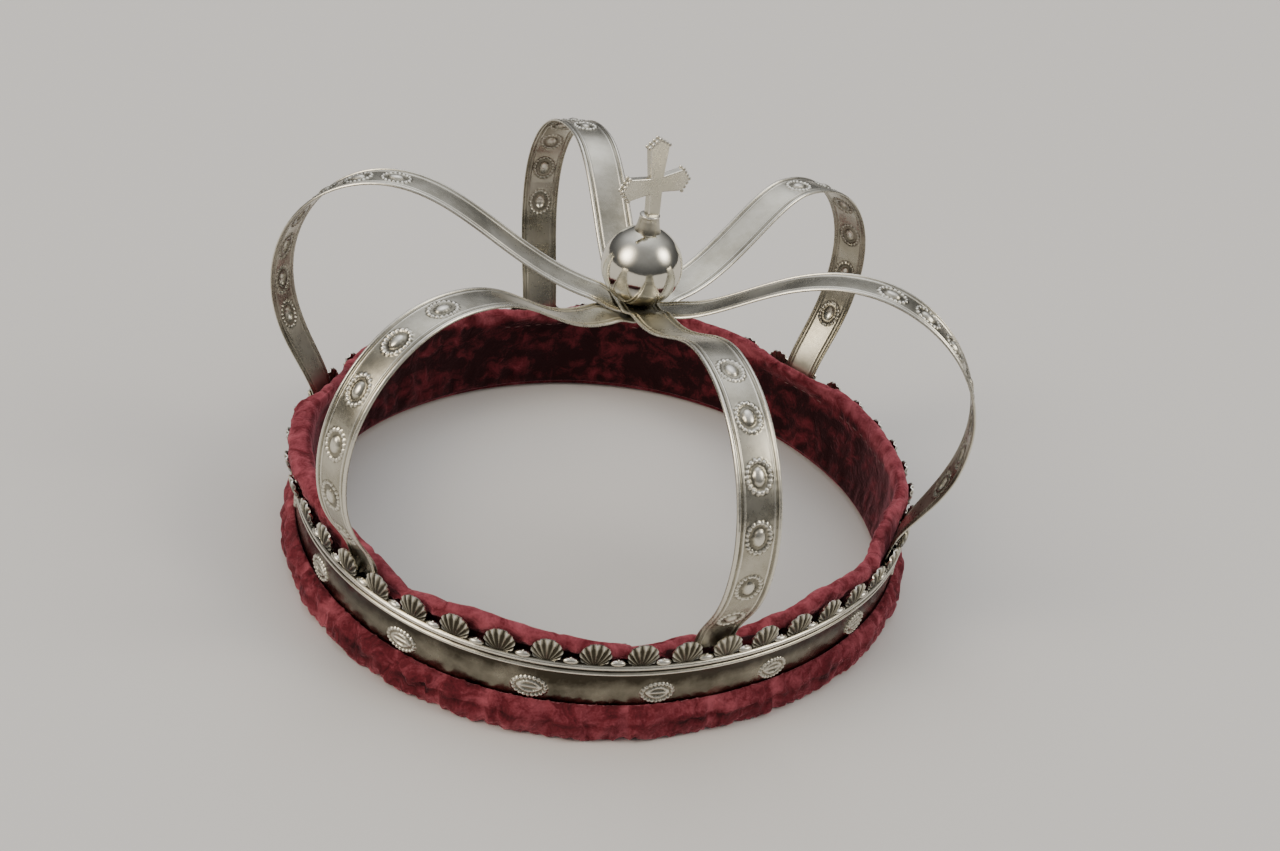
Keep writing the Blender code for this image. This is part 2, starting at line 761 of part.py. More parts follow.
def main():
    clear_scene()
    crown = new_collection("bridal_crown")
    helpers = new_collection("bridal_crown_helpers")
    silver = new_material("silver", (0.66, 0.63, 0.56), 0.30, 1.0)
    velvet = new_material("velvet", (0.22, 0.015, 0.04), 0.90, 0.0)
    build_band(crown, helpers, silver)
    for name, first, second, place in STRAPS:
        build_strap(name, first, second, place, crown, helpers, silver)
    build_orb(crown, helpers, silver)
    build_rivet(crown, silver)
    build_cross(crown, helpers, silver)
    build_velvet(crown, velvet)


main()
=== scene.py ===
import math

import bmesh
import bpy
from mathutils import Matrix, Vector, noise
from mathutils.bvhtree import BVHTree


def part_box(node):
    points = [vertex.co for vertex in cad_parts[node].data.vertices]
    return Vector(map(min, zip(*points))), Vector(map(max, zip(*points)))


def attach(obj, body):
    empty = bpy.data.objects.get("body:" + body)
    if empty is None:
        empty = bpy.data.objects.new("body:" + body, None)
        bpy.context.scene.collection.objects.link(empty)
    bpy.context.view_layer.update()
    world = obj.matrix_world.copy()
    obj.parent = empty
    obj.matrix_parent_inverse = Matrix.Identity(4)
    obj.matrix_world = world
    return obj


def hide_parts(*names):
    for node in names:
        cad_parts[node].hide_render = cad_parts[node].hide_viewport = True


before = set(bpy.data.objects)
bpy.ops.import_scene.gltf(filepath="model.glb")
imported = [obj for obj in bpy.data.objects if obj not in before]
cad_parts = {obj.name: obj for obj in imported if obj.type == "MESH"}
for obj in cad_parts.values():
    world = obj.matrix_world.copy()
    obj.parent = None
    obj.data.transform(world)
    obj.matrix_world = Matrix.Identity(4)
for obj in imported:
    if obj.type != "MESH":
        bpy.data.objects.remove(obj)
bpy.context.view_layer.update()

print("frame loaded:", sorted(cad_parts))

# Everything is worked out about the middle of the hoop's plan, then moved by this much to the crown's origin.
planCentre = Vector((0.0016, -0.0021, 0.0))
zAxis = Vector((0.0, 0.0, 1.0))
mm = 0.001


# small helpers

def hexColour(text):
    # sRGB hex to the linear colour that a shader wants
    parts = [int(text[i:i + 2], 16) / 255 for i in (1, 3, 5)]
    linear = [p / 12.92 if p <= 0.04045 else ((p + 0.055) / 1.055) ** 2.4 for p in parts]
    return (*linear, 1.0)


def setNode(tree, node, settings=None, links=None):
    # settings: attribute or socket values; links: socket -> (node, output)
    for key, value in (settings or {}).items():
        if isinstance(key, str) and hasattr(node, key):
            setattr(node, key, value)
        else:
            node.inputs[key].default_value = value
    for key, (source, output) in (links or {}).items():
        tree.links.new(source.outputs[output], node.inputs[key])
    return node


def addNode(tree, kind, settings=None, links=None):
    return setNode(tree, tree.nodes.new("ShaderNode" + kind), settings, links)


def newMaterial(name):
    material = bpy.data.materials.new(name)
    material.use_nodes = True
    return material, material.node_tree, material.node_tree.nodes["Principled BSDF"]


def newObject(name, bm, material):
    mesh = bpy.data.meshes.new(name)
    bm.to_mesh(mesh)
    bm.free()
    mesh.materials.append(material)
    thing = bpy.data.objects.new(name, mesh)
    bpy.context.scene.collection.objects.link(thing)
    return thing


def newPiece(name, bm, material, nodes=(), smooth=True):
    # a finished mesh, its place in its vertices, riding on the crown's one body
    bm.transform(Matrix.Translation(planCentre))
    piece = newObject(name, bm, material)
    if smooth:
        piece.data.shade_smooth()
    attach(piece, "root")
    if nodes:
        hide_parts(*nodes)
    print("made", name, len(piece.data.polygons), "faces")
    return piece


def thicken(piece, name, thickness):
    # a wall behind the surface
    wall = piece.modifiers.new(name, "SOLIDIFY")
    wall.thickness = thickness
    wall.offset = -1.0


def addCopy(target, source, matrix):
    # puts a small bmesh into a larger one
    mesh = bpy.data.meshes.new("copy")
    source.to_mesh(mesh)
    mesh.transform(matrix)
    target.from_mesh(mesh)
    bpy.data.meshes.remove(mesh)


def newSheet(columns, rows):
    # a flat grid, -0.5 to 0.5 each way, and its layer of wear and painted light
    bm = bmesh.new()
    bmesh.ops.create_grid(bm, x_segments=columns, y_segments=rows, size=0.5)
    return bm, bm.verts.layers.float.new("wearAndPaintedLight")


def paintWearAndPaintedLight(bm, rule):
    # how far each vertex is rubbed bright: 1 is polished, 0 a dark hollow; on the orb and the collar it also
    # holds painted highlight and painted shade
    wearAndPaintedLight = bm.verts.layers.float.new("wearAndPaintedLight")
    for vert in bm.verts:
        vert[wearAndPaintedLight] = rule(vert)


def turnFaces(bm, way, faces=None):
    # all faces turned over if those that count point away from the given way
    bmesh.ops.recalc_face_normals(bm, faces=bm.faces)
    if sum(face.normal.dot(way) for face in faces or bm.faces) < 0.0:
        bmesh.ops.reverse_faces(bm, faces=bm.faces)


def smoothStep(value, start, end):
    share = min(max((value - start) / (end - start), 0.0), 1.0)
    return share * share * (3.0 - 2.0 * share)


def bump(value, middle, half):
    # a rounded ridge: 1 in the middle, 0 at the half width
    share = abs(value - middle) / half
    return math.sqrt(1.0 - share * share) if share < 1.0 else 0.0


def levelWay(azimuth):
    return Vector((math.cos(azimuth), math.sin(azimuth), 0.0))


def angleBetween(azimuth, other):
    return abs((azimuth - other + math.pi) % math.tau - math.pi)


# the hoop's plan

hoopPlan = {
    "radius": 0.0982,
    "bends": ((2, 0.0029, 33.0), (3, 0.0005, -7.0), (4, 0.0006, -24.0)),  # bulges, swell, azimuth
    "crestAzimuth": math.radians(-91.3),
}


def planRadius(azimuth):
    radius = hoopPlan["radius"]
    for count, swell, degrees in hoopPlan["bends"]:
        radius += swell * math.cos(count * (azimuth - math.radians(degrees)))
    return radius


def planPoint(azimuth, offset, height):
    radius = planRadius(azimuth) + offset
    return Vector((radius * math.cos(azimuth), radius * math.sin(azimuth), height))


def frameAt(point, *ways):
    # the place and turn of a copy, from its three ways
    return Matrix.Translation(point) @ Matrix(ways).transposed().to_4x4()


def planFrame(azimuth, offset, height):
    # X along the hoop, Y outwards, Z up
    step = math.radians(0.5)
    along = (planPoint(azimuth + step, offset, 0.0) - planPoint(azimuth - step, offset, 0.0)).normalized()
    return frameAt(planPoint(azimuth, offset, height), -along, along.cross(zAxis), zAxis)


def spunShape(line, centre, steps, closed=False):
    # spins a line of (radius, height) once round the upright through the centre
    bm = bmesh.new()
    corners = [bm.verts.new(centre + Vector((radius, 0.0, height))) for radius, height in line]
    for pair in zip(corners, corners[1:] + corners[:1] if closed else corners[1:]):
        bm.edges.new(pair)
    bmesh.ops.spin(bm, geom=bm.verts[:] + bm.edges[:], cent=centre, axis=zAxis, angle=math.tau,
                   steps=steps, use_merge=True)
    bmesh.ops.remove_doubles(bm, verts=bm.verts, dist=1e-6)
    bmesh.ops.recalc_face_normals(bm, faces=bm.faces)
    return bm


def spunRing(section, steps, closed=True):
    # the same for a section of (offset, height) in mm of the hoop
    line = [(hoopPlan["radius"] + offset * mm, height * mm) for offset, height in section]
    return spunShape(line, Vector((0.0, 0.0, 0.0)), steps, closed)


def ringPlace(vert):
    # azimuth, offset and height of a point of a spun ring
    radius = math.hypot(vert.co.x, vert.co.y)
    return math.atan2(vert.co.y, vert.co.x), radius - hoopPlan["radius"], vert.co.z


def smoothLoop(points, spans):
    # a smooth closed line through the points, so many steps from each to the next
    line = []
    count = len(points)
    for index in range(count):
        p0, p1, p2, p3 = (Vector(points[(index + k) % count]) for k in (-1, 0, 1, 2))
        for step in range(spans):
            t = step / spans
            line.append(tuple(
                0.5 * (2 * p1 + (p2 - p0) * t + (2 * p0 - 5 * p1 + 4 * p2 - p3) * t * t
                       + (3 * p1 - p0 - 3 * p2 + p3) * t ** 3)
            ))
    return line


# the left side, where the thick fold of the velvet presses the crest outwards
splay = {"azimuth": math.radians(178.0), "half": math.radians(8.0), "fade": math.radians(18.0),
         "shell": math.radians(15.0), "fold": 0.0030}


def splayShare(azimuth):
    away = angleBetween(azimuth, splay["azimuth"])
    return 1.0 - smoothStep(away, splay["half"], splay["half"] + splay["fade"])


# materials

silverLook = {
    "cleanAndPaintedHighlight": "#dedacc",       # rubbed silver on edges and beads; also the painted highlight on the collar's ring and the shell backs' rims
    "aged": "#a8a392",        # the broad faces, gone warm grey
    "tarnishAndPaintedShade": "#3f3a2f",     # sulphide in hollows and beside relief; also painted shade where the orb meets the hub and the collar
    "patch": 0.013,           # m, size of the cloudy patches
    "scratch": 0.0009,        # m, rubbing marks, coarser than the real ones to show
    "wave": 0.007,            # m, the hand-worked sheet's slow dents
}


def makeSilver(name, roughLow, roughHigh, tarnishShare, waveDepth):
    # worked sheet silver: mirror-like where handled, cloudy where not, dark in the hollows
    material, tree, shader = newMaterial(name)
    look = silverLook
    place = {"Vector": (addNode(tree, "TexCoord"), "Object")}
    wearAndPaintedLight = addNode(tree, "Attribute", {"attribute_name": "wearAndPaintedLight"})
    patches = addNode(tree, "TexNoise", {"Scale": 1 / look["patch"], "Detail": 5.0, "Roughness": 0.62},
                      place)
    fine = addNode(tree, "TexNoise", {"Scale": 1 / look["scratch"], "Detail": 3.0, "Roughness": 0.7},
                   place)
    # hollows darken first, and the cloudy patches push the edge of the tarnish to and fro; the same mix
    # carries the painted highlight and painted shade that some parts put in their wear layer
    dirtAndPaintedLight = addNode(tree, "Math", {"operation": "MULTIPLY_ADD", 1: 0.9},
                   {0: (patches, "Fac"), 2: (wearAndPaintedLight, "Fac")})
    share = addNode(tree, "MapRange",
                    {"From Min": 0.30 + tarnishShare, "From Max": 1.20 + tarnishShare},
                    {"Value": (dirtAndPaintedLight, "Value")})
    colour = addNode(tree, "ValToRGB", {}, {"Fac": (share, "Result")})
    ramp = colour.color_ramp
    ramp.elements[0].color = hexColour(look["tarnishAndPaintedShade"])
    ramp.elements[1].color = hexColour(look["cleanAndPaintedHighlight"])
    ramp.elements.new(0.5).color = hexColour(look["aged"])
    speck = addNode(tree, "Math", {"operation": "MULTIPLY_ADD", 1: 0.5},
                    {0: (fine, "Fac"), 2: (patches, "Fac")})
    rough = addNode(tree, "MapRange",
                    {"From Min": 0.5, "From Max": 1.0, "To Min": roughLow, "To Max": roughHigh},
                    {"Value": (speck, "Value")})
    waves = addNode(tree, "TexNoise", {"Scale": 1 / look["wave"], "Detail": 2.0},
                    place)
    slow = addNode(tree, "Bump", {"Strength": 1.0, "Distance": waveDepth}, {"Height": (waves, "Fac")})
    marks = addNode(tree, "Bump", {"Strength": 0.35, "Distance": 0.00003},
                    {"Height": (fine, "Fac"), "Normal": (slow, "Normal")})
    setNode(tree, shader, {"Metallic": 1.0},
            {"Base Color": (colour, "Color"), "Roughness": (rough, "Result"), "Normal": (marks, "Normal")})
    return material


velvetLook = {
    "deep": "#250d10",        # pile seen end on; also painted shade in creases and inside the crown
    "body": "#67242c",
    "light": "#a5535d",       # pile laid flat, shining; also painted sheen on the fold and the hem's lower edge
    "sheen": "#d98a94",
    "crush": 0.006,           # m, patches where the pile was pressed
    "pile": 0.0007,           # m, tufts, twice as coarse as the real pile to show
}


def makeVelvet(name):
    # crushed silk velvet: its pile lies in patches, dark one way and bright the other, and blooms at edges;
    # the nap attribute also paints sheen on the fold and the hem's lower edge, and shade in creases and
    # inside the crown
    material, tree, shader = newMaterial(name)
    look = velvetLook
    place = {"Vector": (addNode(tree, "TexCoord"), "Object")}
    napAndPaintedLight = addNode(tree, "Attribute", {"attribute_name": "napAndPaintedLight"})
    crush = addNode(tree, "TexNoise",
                    {"Scale": 1 / look["crush"], "Detail": 4.0, "Roughness": 0.6, "Distortion": 1.4},
                    place)
    pile = addNode(tree, "TexNoise", {"Scale": 1 / look["pile"], "Detail": 2.0, "Roughness": 0.6},
                   place)
    # the crush noise plus the nap, which holds real pile patches and the painted sheen and painted shade
    patches = addNode(tree, "Math", {"operation": "MULTIPLY_ADD", 1: 1.1},
                      {0: (crush, "Fac"), 2: (napAndPaintedLight, "Fac")})
    tufts = addNode(tree, "Math", {"operation": "MULTIPLY_ADD", 1: 0.35},
                    {0: (pile, "Fac"), 2: (patches, "Value")})
    share = addNode(tree, "MapRange", {"From Min": 0.62, "From Max": 1.45}, {"Value": (tufts, "Value")})
    colour = addNode(tree, "ValToRGB", {}, {"Fac": (share, "Result")})
    ramp = colour.color_ramp
    ramp.elements[0].color = hexColour(look["deep"])
    ramp.elements[1].color = hexColour(look["light"])
    ramp.elements.new(0.45).color = hexColour(look["body"])
    pressed = addNode(tree, "Bump", {"Strength": 0.8, "Distance": 0.0008}, {"Height": (crush, "Fac")})
    tuftBump = addNode(tree, "Bump", {"Strength": 0.7, "Distance": 0.00025},
                       {"Height": (pile, "Fac"), "Normal": (pressed, "Normal")})
    setNode(tree, shader,
            {"Roughness": 0.9, "Specular IOR Level": 0.15, "Sheen Weight": 0.8, "Sheen Roughness": 0.35,
             "Sheen Tint": hexColour(look["sheen"])},
            {"Base Color": (colour, "Color"), "Normal": (tuftBump, "Normal")})
    return material


sheetSilver = makeSilver("rolledSheetSilver", 0.16, 0.30, 0.24, 0.00018)
stampedSilver = makeSilver("stampedSilver", 0.20, 0.36, 0.02, 0.00007)
polishedSilver = makeSilver("polishedSilver", 0.07, 0.15, -0.10, 0.00005)
velvet = makeVelvet("crushedSilkVelvet")
print("materials ready")


# hoop: the plain wall, the double moulding and the rolled foot

hoopLook = {
    "steps": 288,
    # sections are in mm: how far out from the plan, and the height
    "wall": ((-2.0, 4.6), (-1.9, 4.1), (-1.4, 4.0), (-1.0, 4.2), (-0.9, 4.8), (-1.2, 5.5),
             (-1.1, 10.0), (-0.9, 16.0), (-0.7, 21.2)),
    "ridges": ((22.2, 0.7, 0.8), (24.3, 0.9, 1.0)),  # height, half height, how far out
    "rim": ((-0.6, 25.6), (-0.8, 25.9), (-1.3, 25.9), (-1.4, 25.6), (-1.4, 14.0)),
    "dent": 0.00018,
}


def buildHoop():
    section = list(hoopLook["wall"])
    for height, half, reach in hoopLook["ridges"]:
        for degrees in (-80, -45, -15, 15, 45, 80):
            angle = math.radians(degrees)
            section.append((reach * math.cos(angle) - 0.7, height + half * math.sin(angle)))
    section += hoopLook["rim"]
    bm = spunRing(section, hoopLook["steps"])
    wearAndPaintedLight = bm.verts.layers.float.new("wearAndPaintedLight")
    for vert in bm.verts:
        azimuth, offset, height = ringPlace(vert)
        dent = hoopLook["dent"] * noise.noise(Vector((vert.co.x * 35, vert.co.y * 35, height * 60)))
        ridge = smoothStep(offset, -0.0004, 0.0001)
        foot = 1.0 - smoothStep(height, 0.0046, 0.0060)
        groove = smoothStep(height, 0.0195, 0.0212) * (1.0 - ridge)
        vert[wearAndPaintedLight] = max(ridge, 0.7 * foot, 0.30 - 0.4 * groove)
        vert.co = planPoint(azimuth, offset + dent * (1.0 - 0.7 * ridge), height)
    newPiece("hoop", bm, sheetSilver, ("band",))


# shells of the crest: a fan of flutes from the hinge, domed, with a bright scalloped rim

shellLook = {
    "count": 48, "flutes": 11,
    "fan": 86.0,              # degrees each way from upright
    # mm
    "radius": 4.4, "rise": 4.3, "fluteDepth": 0.48, "dome": 0.9, "notch": 0.35, "rim": 0.22, "sheet": 0.5,
    # m
    "baseHeight": 0.0246, "offset": -0.0008, "lean": math.radians(9.0),
}


def shellShape():
    look = shellLook
    bm, wearAndPaintedLight = newSheet(look["flutes"] * 4, 9)
    for vert in bm.verts:
        across = vert.co.x + 0.5
        out = 0.10 + 0.90 * (vert.co.y + 0.5)
        angle = math.radians(look["fan"]) * (2.0 * across - 1.0)
        reach = look["rise"] * math.cos(angle) + math.sqrt(
            look["radius"] ** 2 - (look["rise"] * math.sin(angle)) ** 2)
        flute = abs(math.cos(math.pi * look["flutes"] * (across - 0.5)))
        reach -= look["notch"] * (1.0 - flute) ** 2 * smoothStep(out, 0.7, 1.0)
        x = reach * out * math.sin(angle)
        z = reach * out * math.cos(angle)
        fromMiddle = math.hypot(x, z - look["rise"]) / look["radius"]
        y = look["dome"] * (1.0 - min(fromMiddle, 1.0) ** 2)
        y += look["fluteDepth"] * (flute ** 3 - 0.5) * smoothStep(out, 0.1, 0.6)
        y += look["rim"] * bump(out, 0.95, 0.09) * flute
        vert.co = Vector((x, y, z)) * mm
        vert[wearAndPaintedLight] = -0.2 + 0.85 * flute ** 5 * out + 0.7 * smoothStep(out, 0.86, 0.94) * flute
    turnFaces(bm, Vector((0.0, 1.0, 0.0)))
    bmesh.ops.solidify(bm, geom=bm.faces[:], thickness=look["sheet"] * mm)
    bm.normal_update()
    # the backs and the cut edge: a mid level of wear, with a painted highlight brightening towards the rim
    for vert in bm.verts:
        if vert.normal.y < 0.1:
            fromMiddle = math.hypot(vert.co.x, vert.co.z - look["rise"] * mm) / (look["radius"] * mm)
            vert[wearAndPaintedLight] = 0.45 + 0.55 * smoothStep(fromMiddle, 0.80, 0.92)
    return bm


def crestCopies(shape, look, share, turn):
    # copies round the crest, the first one so large a share of the pitch from its start
    copies = bmesh.new()
    pitch = math.tau / shellLook["count"]
    for index in range(shellLook["count"]):
        azimuth = hoopPlan["crestAzimuth"] + (index + share) * pitch
        addCopy(copies, shape, planFrame(azimuth, look["offset"], look["baseHeight"]) @ turn(index, azimuth))
    shape.free()
    return copies


def shellTurn(index, azimuth):
    lean = -shellLook["lean"] - splay["shell"] * splayShare(azimuth)
    sway = math.radians(2.5 * math.sin(7.3 * index))
    return Matrix.Rotation(lean, 4, "X") @ Matrix.Rotation(sway, 4, "Y")


def buildCrest():
    piece = newPiece("crestShells", crestCopies(shellShape(), shellLook, 0.5, shellTurn), stampedSilver)
    piece.data.set_sharp_from_angle(angle=math.radians(55.0))


# drops between the shells: a low pad on the moulding with a bead on it

dropLook = {"pad": (2.3, 1.1, 0.95), "baseHeight": 0.0261, "bead": 0.50, "beadHeight": 0.0270,
            "offset": -0.0005}


def buildDrops():
    look = dropLook
    drop = bmesh.new()
    bmesh.ops.create_uvsphere(drop, u_segments=14, v_segments=8, radius=mm,
                              matrix=Matrix.Diagonal((*look["pad"], 1.0)))
    bead = Matrix.Translation((0.0, 0.0002, look["beadHeight"] - look["baseHeight"]))
    bmesh.ops.create_uvsphere(drop, u_segments=10, v_segments=7, radius=look["bead"] * mm, matrix=bead)
    paintWearAndPaintedLight(drop, lambda vert: 0.6 + 0.4 * smoothStep(vert.co.z, 0.0, mm))
    newPiece("crestDrops", crestCopies(drop, look, 0, lambda *_: Matrix.Identity(4)), stampedSilver)


# stamped rosettes: an oval ring of beads round a boss, as height in mm over the sheet

strapRosette = {"beads": 18, "ring": (3.35, 4.20), "bead": 0.62, "beadHeight": 0.50, "boss": (1.7, 2.4),
                "bossHeight": 0.80, "ditch": 0.10, "size": (8.2, 10.0)}
hoopRosette = {"beads": 20, "ring": (4.55, 3.10), "bead": 0.58, "beadHeight": 0.50, "eye": (3.4, 1.75),
               "eyeLine": 0.42, "eyeHeight": 0.42, "ditch": 0.10, "size": (10.5, 7.4)}


def beadPlaces(look):
    # beads at even steps along the oval, not at even angles
    a, b = look["ring"]
    line = [(a * math.cos(math.radians(k)), b * math.sin(math.radians(k))) for k in range(361)]
    walked = [0.0]
    for first, second in zip(line, line[1:]):
        walked.append(walked[-1] + math.dist(first, second))
    wanted = [walked[-1] * n / look["beads"] for n in range(look["beads"])]
    return [line[min(range(361), key=lambda k: abs(walked[k] - length))] for length in wanted]


for rosette in (strapRosette, hoopRosette):
    rosette["places"] = beadPlaces(rosette)


def ovalShare(look, x, y):
    # 0 in the middle of the rosette, 1 on its edge
    return math.hypot(2.0 * x / look["size"][0], 2.0 * y / look["size"][1])


def rosetteHeight(look, x, y):
    # (height in mm, wear) at a point of the rosette
    nearest = min(math.hypot(x - px, y - py) for px, py in look["places"])
    height, wearAndPaintedLight = 0.0, 0.45
    oval = ovalShare(look, x, y)
    if oval < 1.0:
        height = -look["ditch"] * smoothStep(1.0 - oval, 0.0, 0.2)
        wearAndPaintedLight = 0.12
    if nearest < look["bead"]:
        dome = bump(nearest, 0.0, look["bead"])
        height = max(height, look["beadHeight"] * dome)
        wearAndPaintedLight = 0.15 + 0.95 * dome
    if "boss" in look:
        share = math.hypot(x / look["boss"][0], y / look["boss"][1])
        if share < 1.0:
            dome = math.sqrt(1.0 - share * share)
            height = max(height, look["bossHeight"] * dome)
            wearAndPaintedLight = max(wearAndPaintedLight, 0.2 + 0.75 * dome)
    else:
        halfLength, halfHeight = look["eye"]
        if abs(x) < halfLength:
            lid = halfHeight * (1.0 - (x / halfLength) ** 2)
            line = max(bump(abs(y), lid, look["eyeLine"]), 0.9 * bump(y, 0.0, look["eyeLine"]))
            if line > 0.0:
                height = max(height, look["eyeHeight"] * line)
                wearAndPaintedLight = max(wearAndPaintedLight, 0.2 + 0.85 * line)
    return height, wearAndPaintedLight


hoopRosettes = {"count": 16, "height": 0.0148, "offset": -0.00095, "grid": (40, 28), "sunk": 0.25,
                "leftShift": math.radians(1.6)}


def buildHoopRosettes():
    look = hoopRosettes
    rosettes = bmesh.new()
    for index in range(look["count"]):
        middle = hoopPlan["crestAzimuth"] + math.tau * index / look["count"]
        if index > look["count"] // 2:
            middle += look["leftShift"]
        patch, wearAndPaintedLight = newSheet(*look["grid"])
        for vert in patch.verts:
            x = vert.co.x * (hoopRosette["size"][0] + 0.6)
            y = vert.co.y * (hoopRosette["size"][1] + 0.6)
            height, vert[wearAndPaintedLight] = rosetteHeight(hoopRosette, x, y)
            oval = ovalShare(hoopRosette, x, y)
            height += 0.16 - look["sunk"] * smoothStep(oval, 0.90, 1.06) - 0.25 * smoothStep(oval, 1.05, 1.2)
            azimuth = middle - x * mm / hoopPlan["radius"]
            vert.co = planPoint(azimuth, look["offset"] + height * mm, look["height"] + y * mm)
        turnFaces(patch, levelWay(middle))
        addCopy(rosettes, patch, Matrix.Identity(4))
        patch.free()
    newPiece("hoopRosettes", rosettes, stampedSilver)


# straps: one bent sheet each, with a rolled rim, a second line and stamped rosettes on the rise of each arch

hub = Vector((0.0013, 0.0, 0.0))
arches = {
    # azimuth, widest distance and height, highest distance and height, level share, straight share, hub slope
    "frontLeft": (-145.5, 0.1125, 0.065, 0.073, 0.1050, 0.46, 0.45, 0.03),
    "front": (-83.0, 0.1055, 0.065, 0.064, 0.1035, 0.36, 0.45, 0.05),
    "right": (-30.0, 0.1065, 0.072, 0.068, 0.1105, 0.45, 0.30, 0.25),
    "backRight": (34.0, 0.1115, 0.070, 0.070, 0.1090, 0.28, 0.45, 0.05),
    "back": (96.0, 0.1100, 0.076, 0.061, 0.1145, 0.40, 0.30, 0.35),
    "left": (159.5, 0.1113, 0.072, 0.076, 0.1105, 0.35, 0.40, 0.16),
}
# how far the outer limb of an arch is turned about the upright, in degrees, and the rosettes from where
# the arch leaves the hoop: the first one and the step to the next, in m
limbTurns = {"frontLeft": 0.0, "front": 0.0, "right": 12.0, "backRight": 8.0, "back": -8.0, "left": -12.0}
rosetteRows = {"frontLeft": (0.0191, 0.0160), "front": (0.0183, 0.0159), "right": (0.0301, 0.0120),
               "backRight": (0.0284, 0.0160), "back": (0.0457, 0.0136), "left": (0.0344, 0.0120)}
strapLook = {
    # the cross-section in mm
    "halfWidth": 6.4, "rim": 0.55, "rimHeight": 0.50, "edgeDrop": -0.25, "line": 2.2, "lineHalf": 0.32,
    "lineHeight": 0.24, "field": 0.10, "crown": 0.14, "crownHalf": 3.9,
    # the rest in m; the handles say how long a curve keeps its way at its ends
    "sheet": 0.00045, "footHeight": 0.012, "footOffset": -0.0029, "freeHeight": 0.026, "squareHeight": 0.060,
    "risingHandle": 0.014, "wideHandle": 0.022, "hubHandle": 0.35, "steps": 24,
    "lowestHub": 0.0831, "stack": 0.0013, "hubFlat": 0.005, "crossingReach": 0.014, "crossingRise": 0.0026,
    "fineStep": 0.00032, "coarseStep": 0.0012,
}
straps = (
    ("strapFrontLeftBackRight", "frontLeft", "backRight", 0, "strap_front_left_back_right"),
    ("strapLeftRight", "left", "right", 1, "strap_left_right"),
    ("strapFrontBack", "front", "back", 2, "strap_front_back"),
)


def bezier(start, startHandle, endHandle, end, steps):
    points = []
    for index in range(1, steps + 1):
        t = index / steps
        s = 1.0 - t
        points.append(start * s ** 3 + startHandle * 3 * s * s * t + endHandle * 3 * s * t * t + end * t ** 3)
    return points


def footDistance(azimuth):
    distance = hoopPlan["radius"]
    for _ in range(6):
        place = hub + levelWay(azimuth) * distance
        wanted = planRadius(math.atan2(place.y, place.x)) + strapLook["footOffset"]
        distance += wanted - math.hypot(place.x, place.y)
    return distance


def archProfile(name, hubHeight):
    # distance from the hub and height along one arch, foot to hub
    degrees, reach, reachHeight, top, topHeight, levelShare, straightShare, slope = arches[name]
    look = strapLook
    steps = look["steps"]
    foot = footDistance(math.radians(degrees))
    low = Vector((foot, look["footHeight"]))
    free = Vector((foot, look["freeHeight"]))
    widest = Vector((reach, reachHeight))
    highest = Vector((top, topHeight))
    crossing = Vector((look["crossingReach"], hubHeight + look["crossingRise"]))
    level = Vector((look["hubFlat"], hubHeight))
    rise = Vector((0.0, 1.0))
    inward = Vector((-1.0, 0.0))
    fall = Vector((-1.0, -slope))
    quarter = 0.5523          # the handle of a quarter of a circle
    points = [low, (low + free) / 2, free]
    points += bezier(free, free + rise * look["risingHandle"],
                     widest - rise * look["wideHandle"], widest, steps)
    points += bezier(widest, widest + rise * quarter * (topHeight - reachHeight),
                     highest - inward * quarter * (reach - top), highest, steps)
    span = top - look["crossingReach"]
    points += bezier(highest, highest + inward * levelShare * span,
                     crossing - fall * straightShare * span, crossing, steps)
    handle = look["hubHandle"] * (look["crossingReach"] - look["hubFlat"])
    points += bezier(crossing, crossing + fall * handle, level - inward * handle, level, steps // 3)
    points.append(Vector((0.0, hubHeight)))
    return points


def limbTurn(name, distance, height):
    # full up to the widest place of the arch, none from its top inwards
    _, reach, reachHeight, top, *_ = arches[name]
    share = 1.0 if height < reachHeight else smoothStep(distance, top, reach)
    return Matrix.Rotation(math.radians(limbTurns[name]) * share, 3, "Z")


def strapPath(first, second, hubHeight):
    # points with the way the width runs at each, foot to foot
    out, back = (levelWay(math.radians(arches[name][0])) for name in (first, second))
    rising = archProfile(first, hubHeight)
    falling = archProfile(second, hubHeight)[:-1]
    path = []
    for name, direction, across, profile in (
        (first, out, zAxis.cross(-out), rising),
        (second, back, zAxis.cross(back), falling[::-1]),
    ):
        for distance, height in profile:
            point = hub + direction * distance + zAxis * height
            azimuth = math.atan2(point.y, point.x)
            tangent = planFrame(azimuth, 0.0, 0.0).to_3x3().col[0]
            if tangent.dot(across) < 0.0:
                tangent = -tangent
            held = 1.0 - smoothStep(height, strapLook["freeHeight"], strapLook["squareHeight"])
            turned = limbTurn(name, distance, height) @ across
            path.append((point, (turned * (1.0 - held) + tangent * held).normalized()))
    middle = len(rising) - 1
    path[middle] = (path[middle][0], (zAxis.cross(-out) + zAxis.cross(back)).normalized())
    return path, middle


def walkedLengths(points):
    lengths = [0.0]
    for first, second in zip(points, points[1:]):
        lengths.append(lengths[-1] + (second - first).length)
    return lengths


def pathFrames(path, lengths, wanted):
    # a frame at each wanted length: X across, Y along, Z out of the face
    frames = []
    spot = 0
    for length in wanted:
        while spot < len(lengths) - 2 and lengths[spot + 1] < length:
            spot += 1
        t = (length - lengths[spot]) / (lengths[spot + 1] - lengths[spot])
        point = path[spot][0].lerp(path[spot + 1][0], t)
        side = path[spot][1].lerp(path[spot + 1][1], t)
        before, after = path[max(spot - 1, 0)][0], path[min(spot + 2, len(path) - 1)][0]
        startWay = (path[spot + 1][0] - before).normalized()
        endWay = (after - path[spot][0]).normalized()
        along = startWay.lerp(endWay, t).normalized()
        face = along.cross(side).normalized()
        frames.append(frameAt(point, along.cross(face), along, face))
    return frames


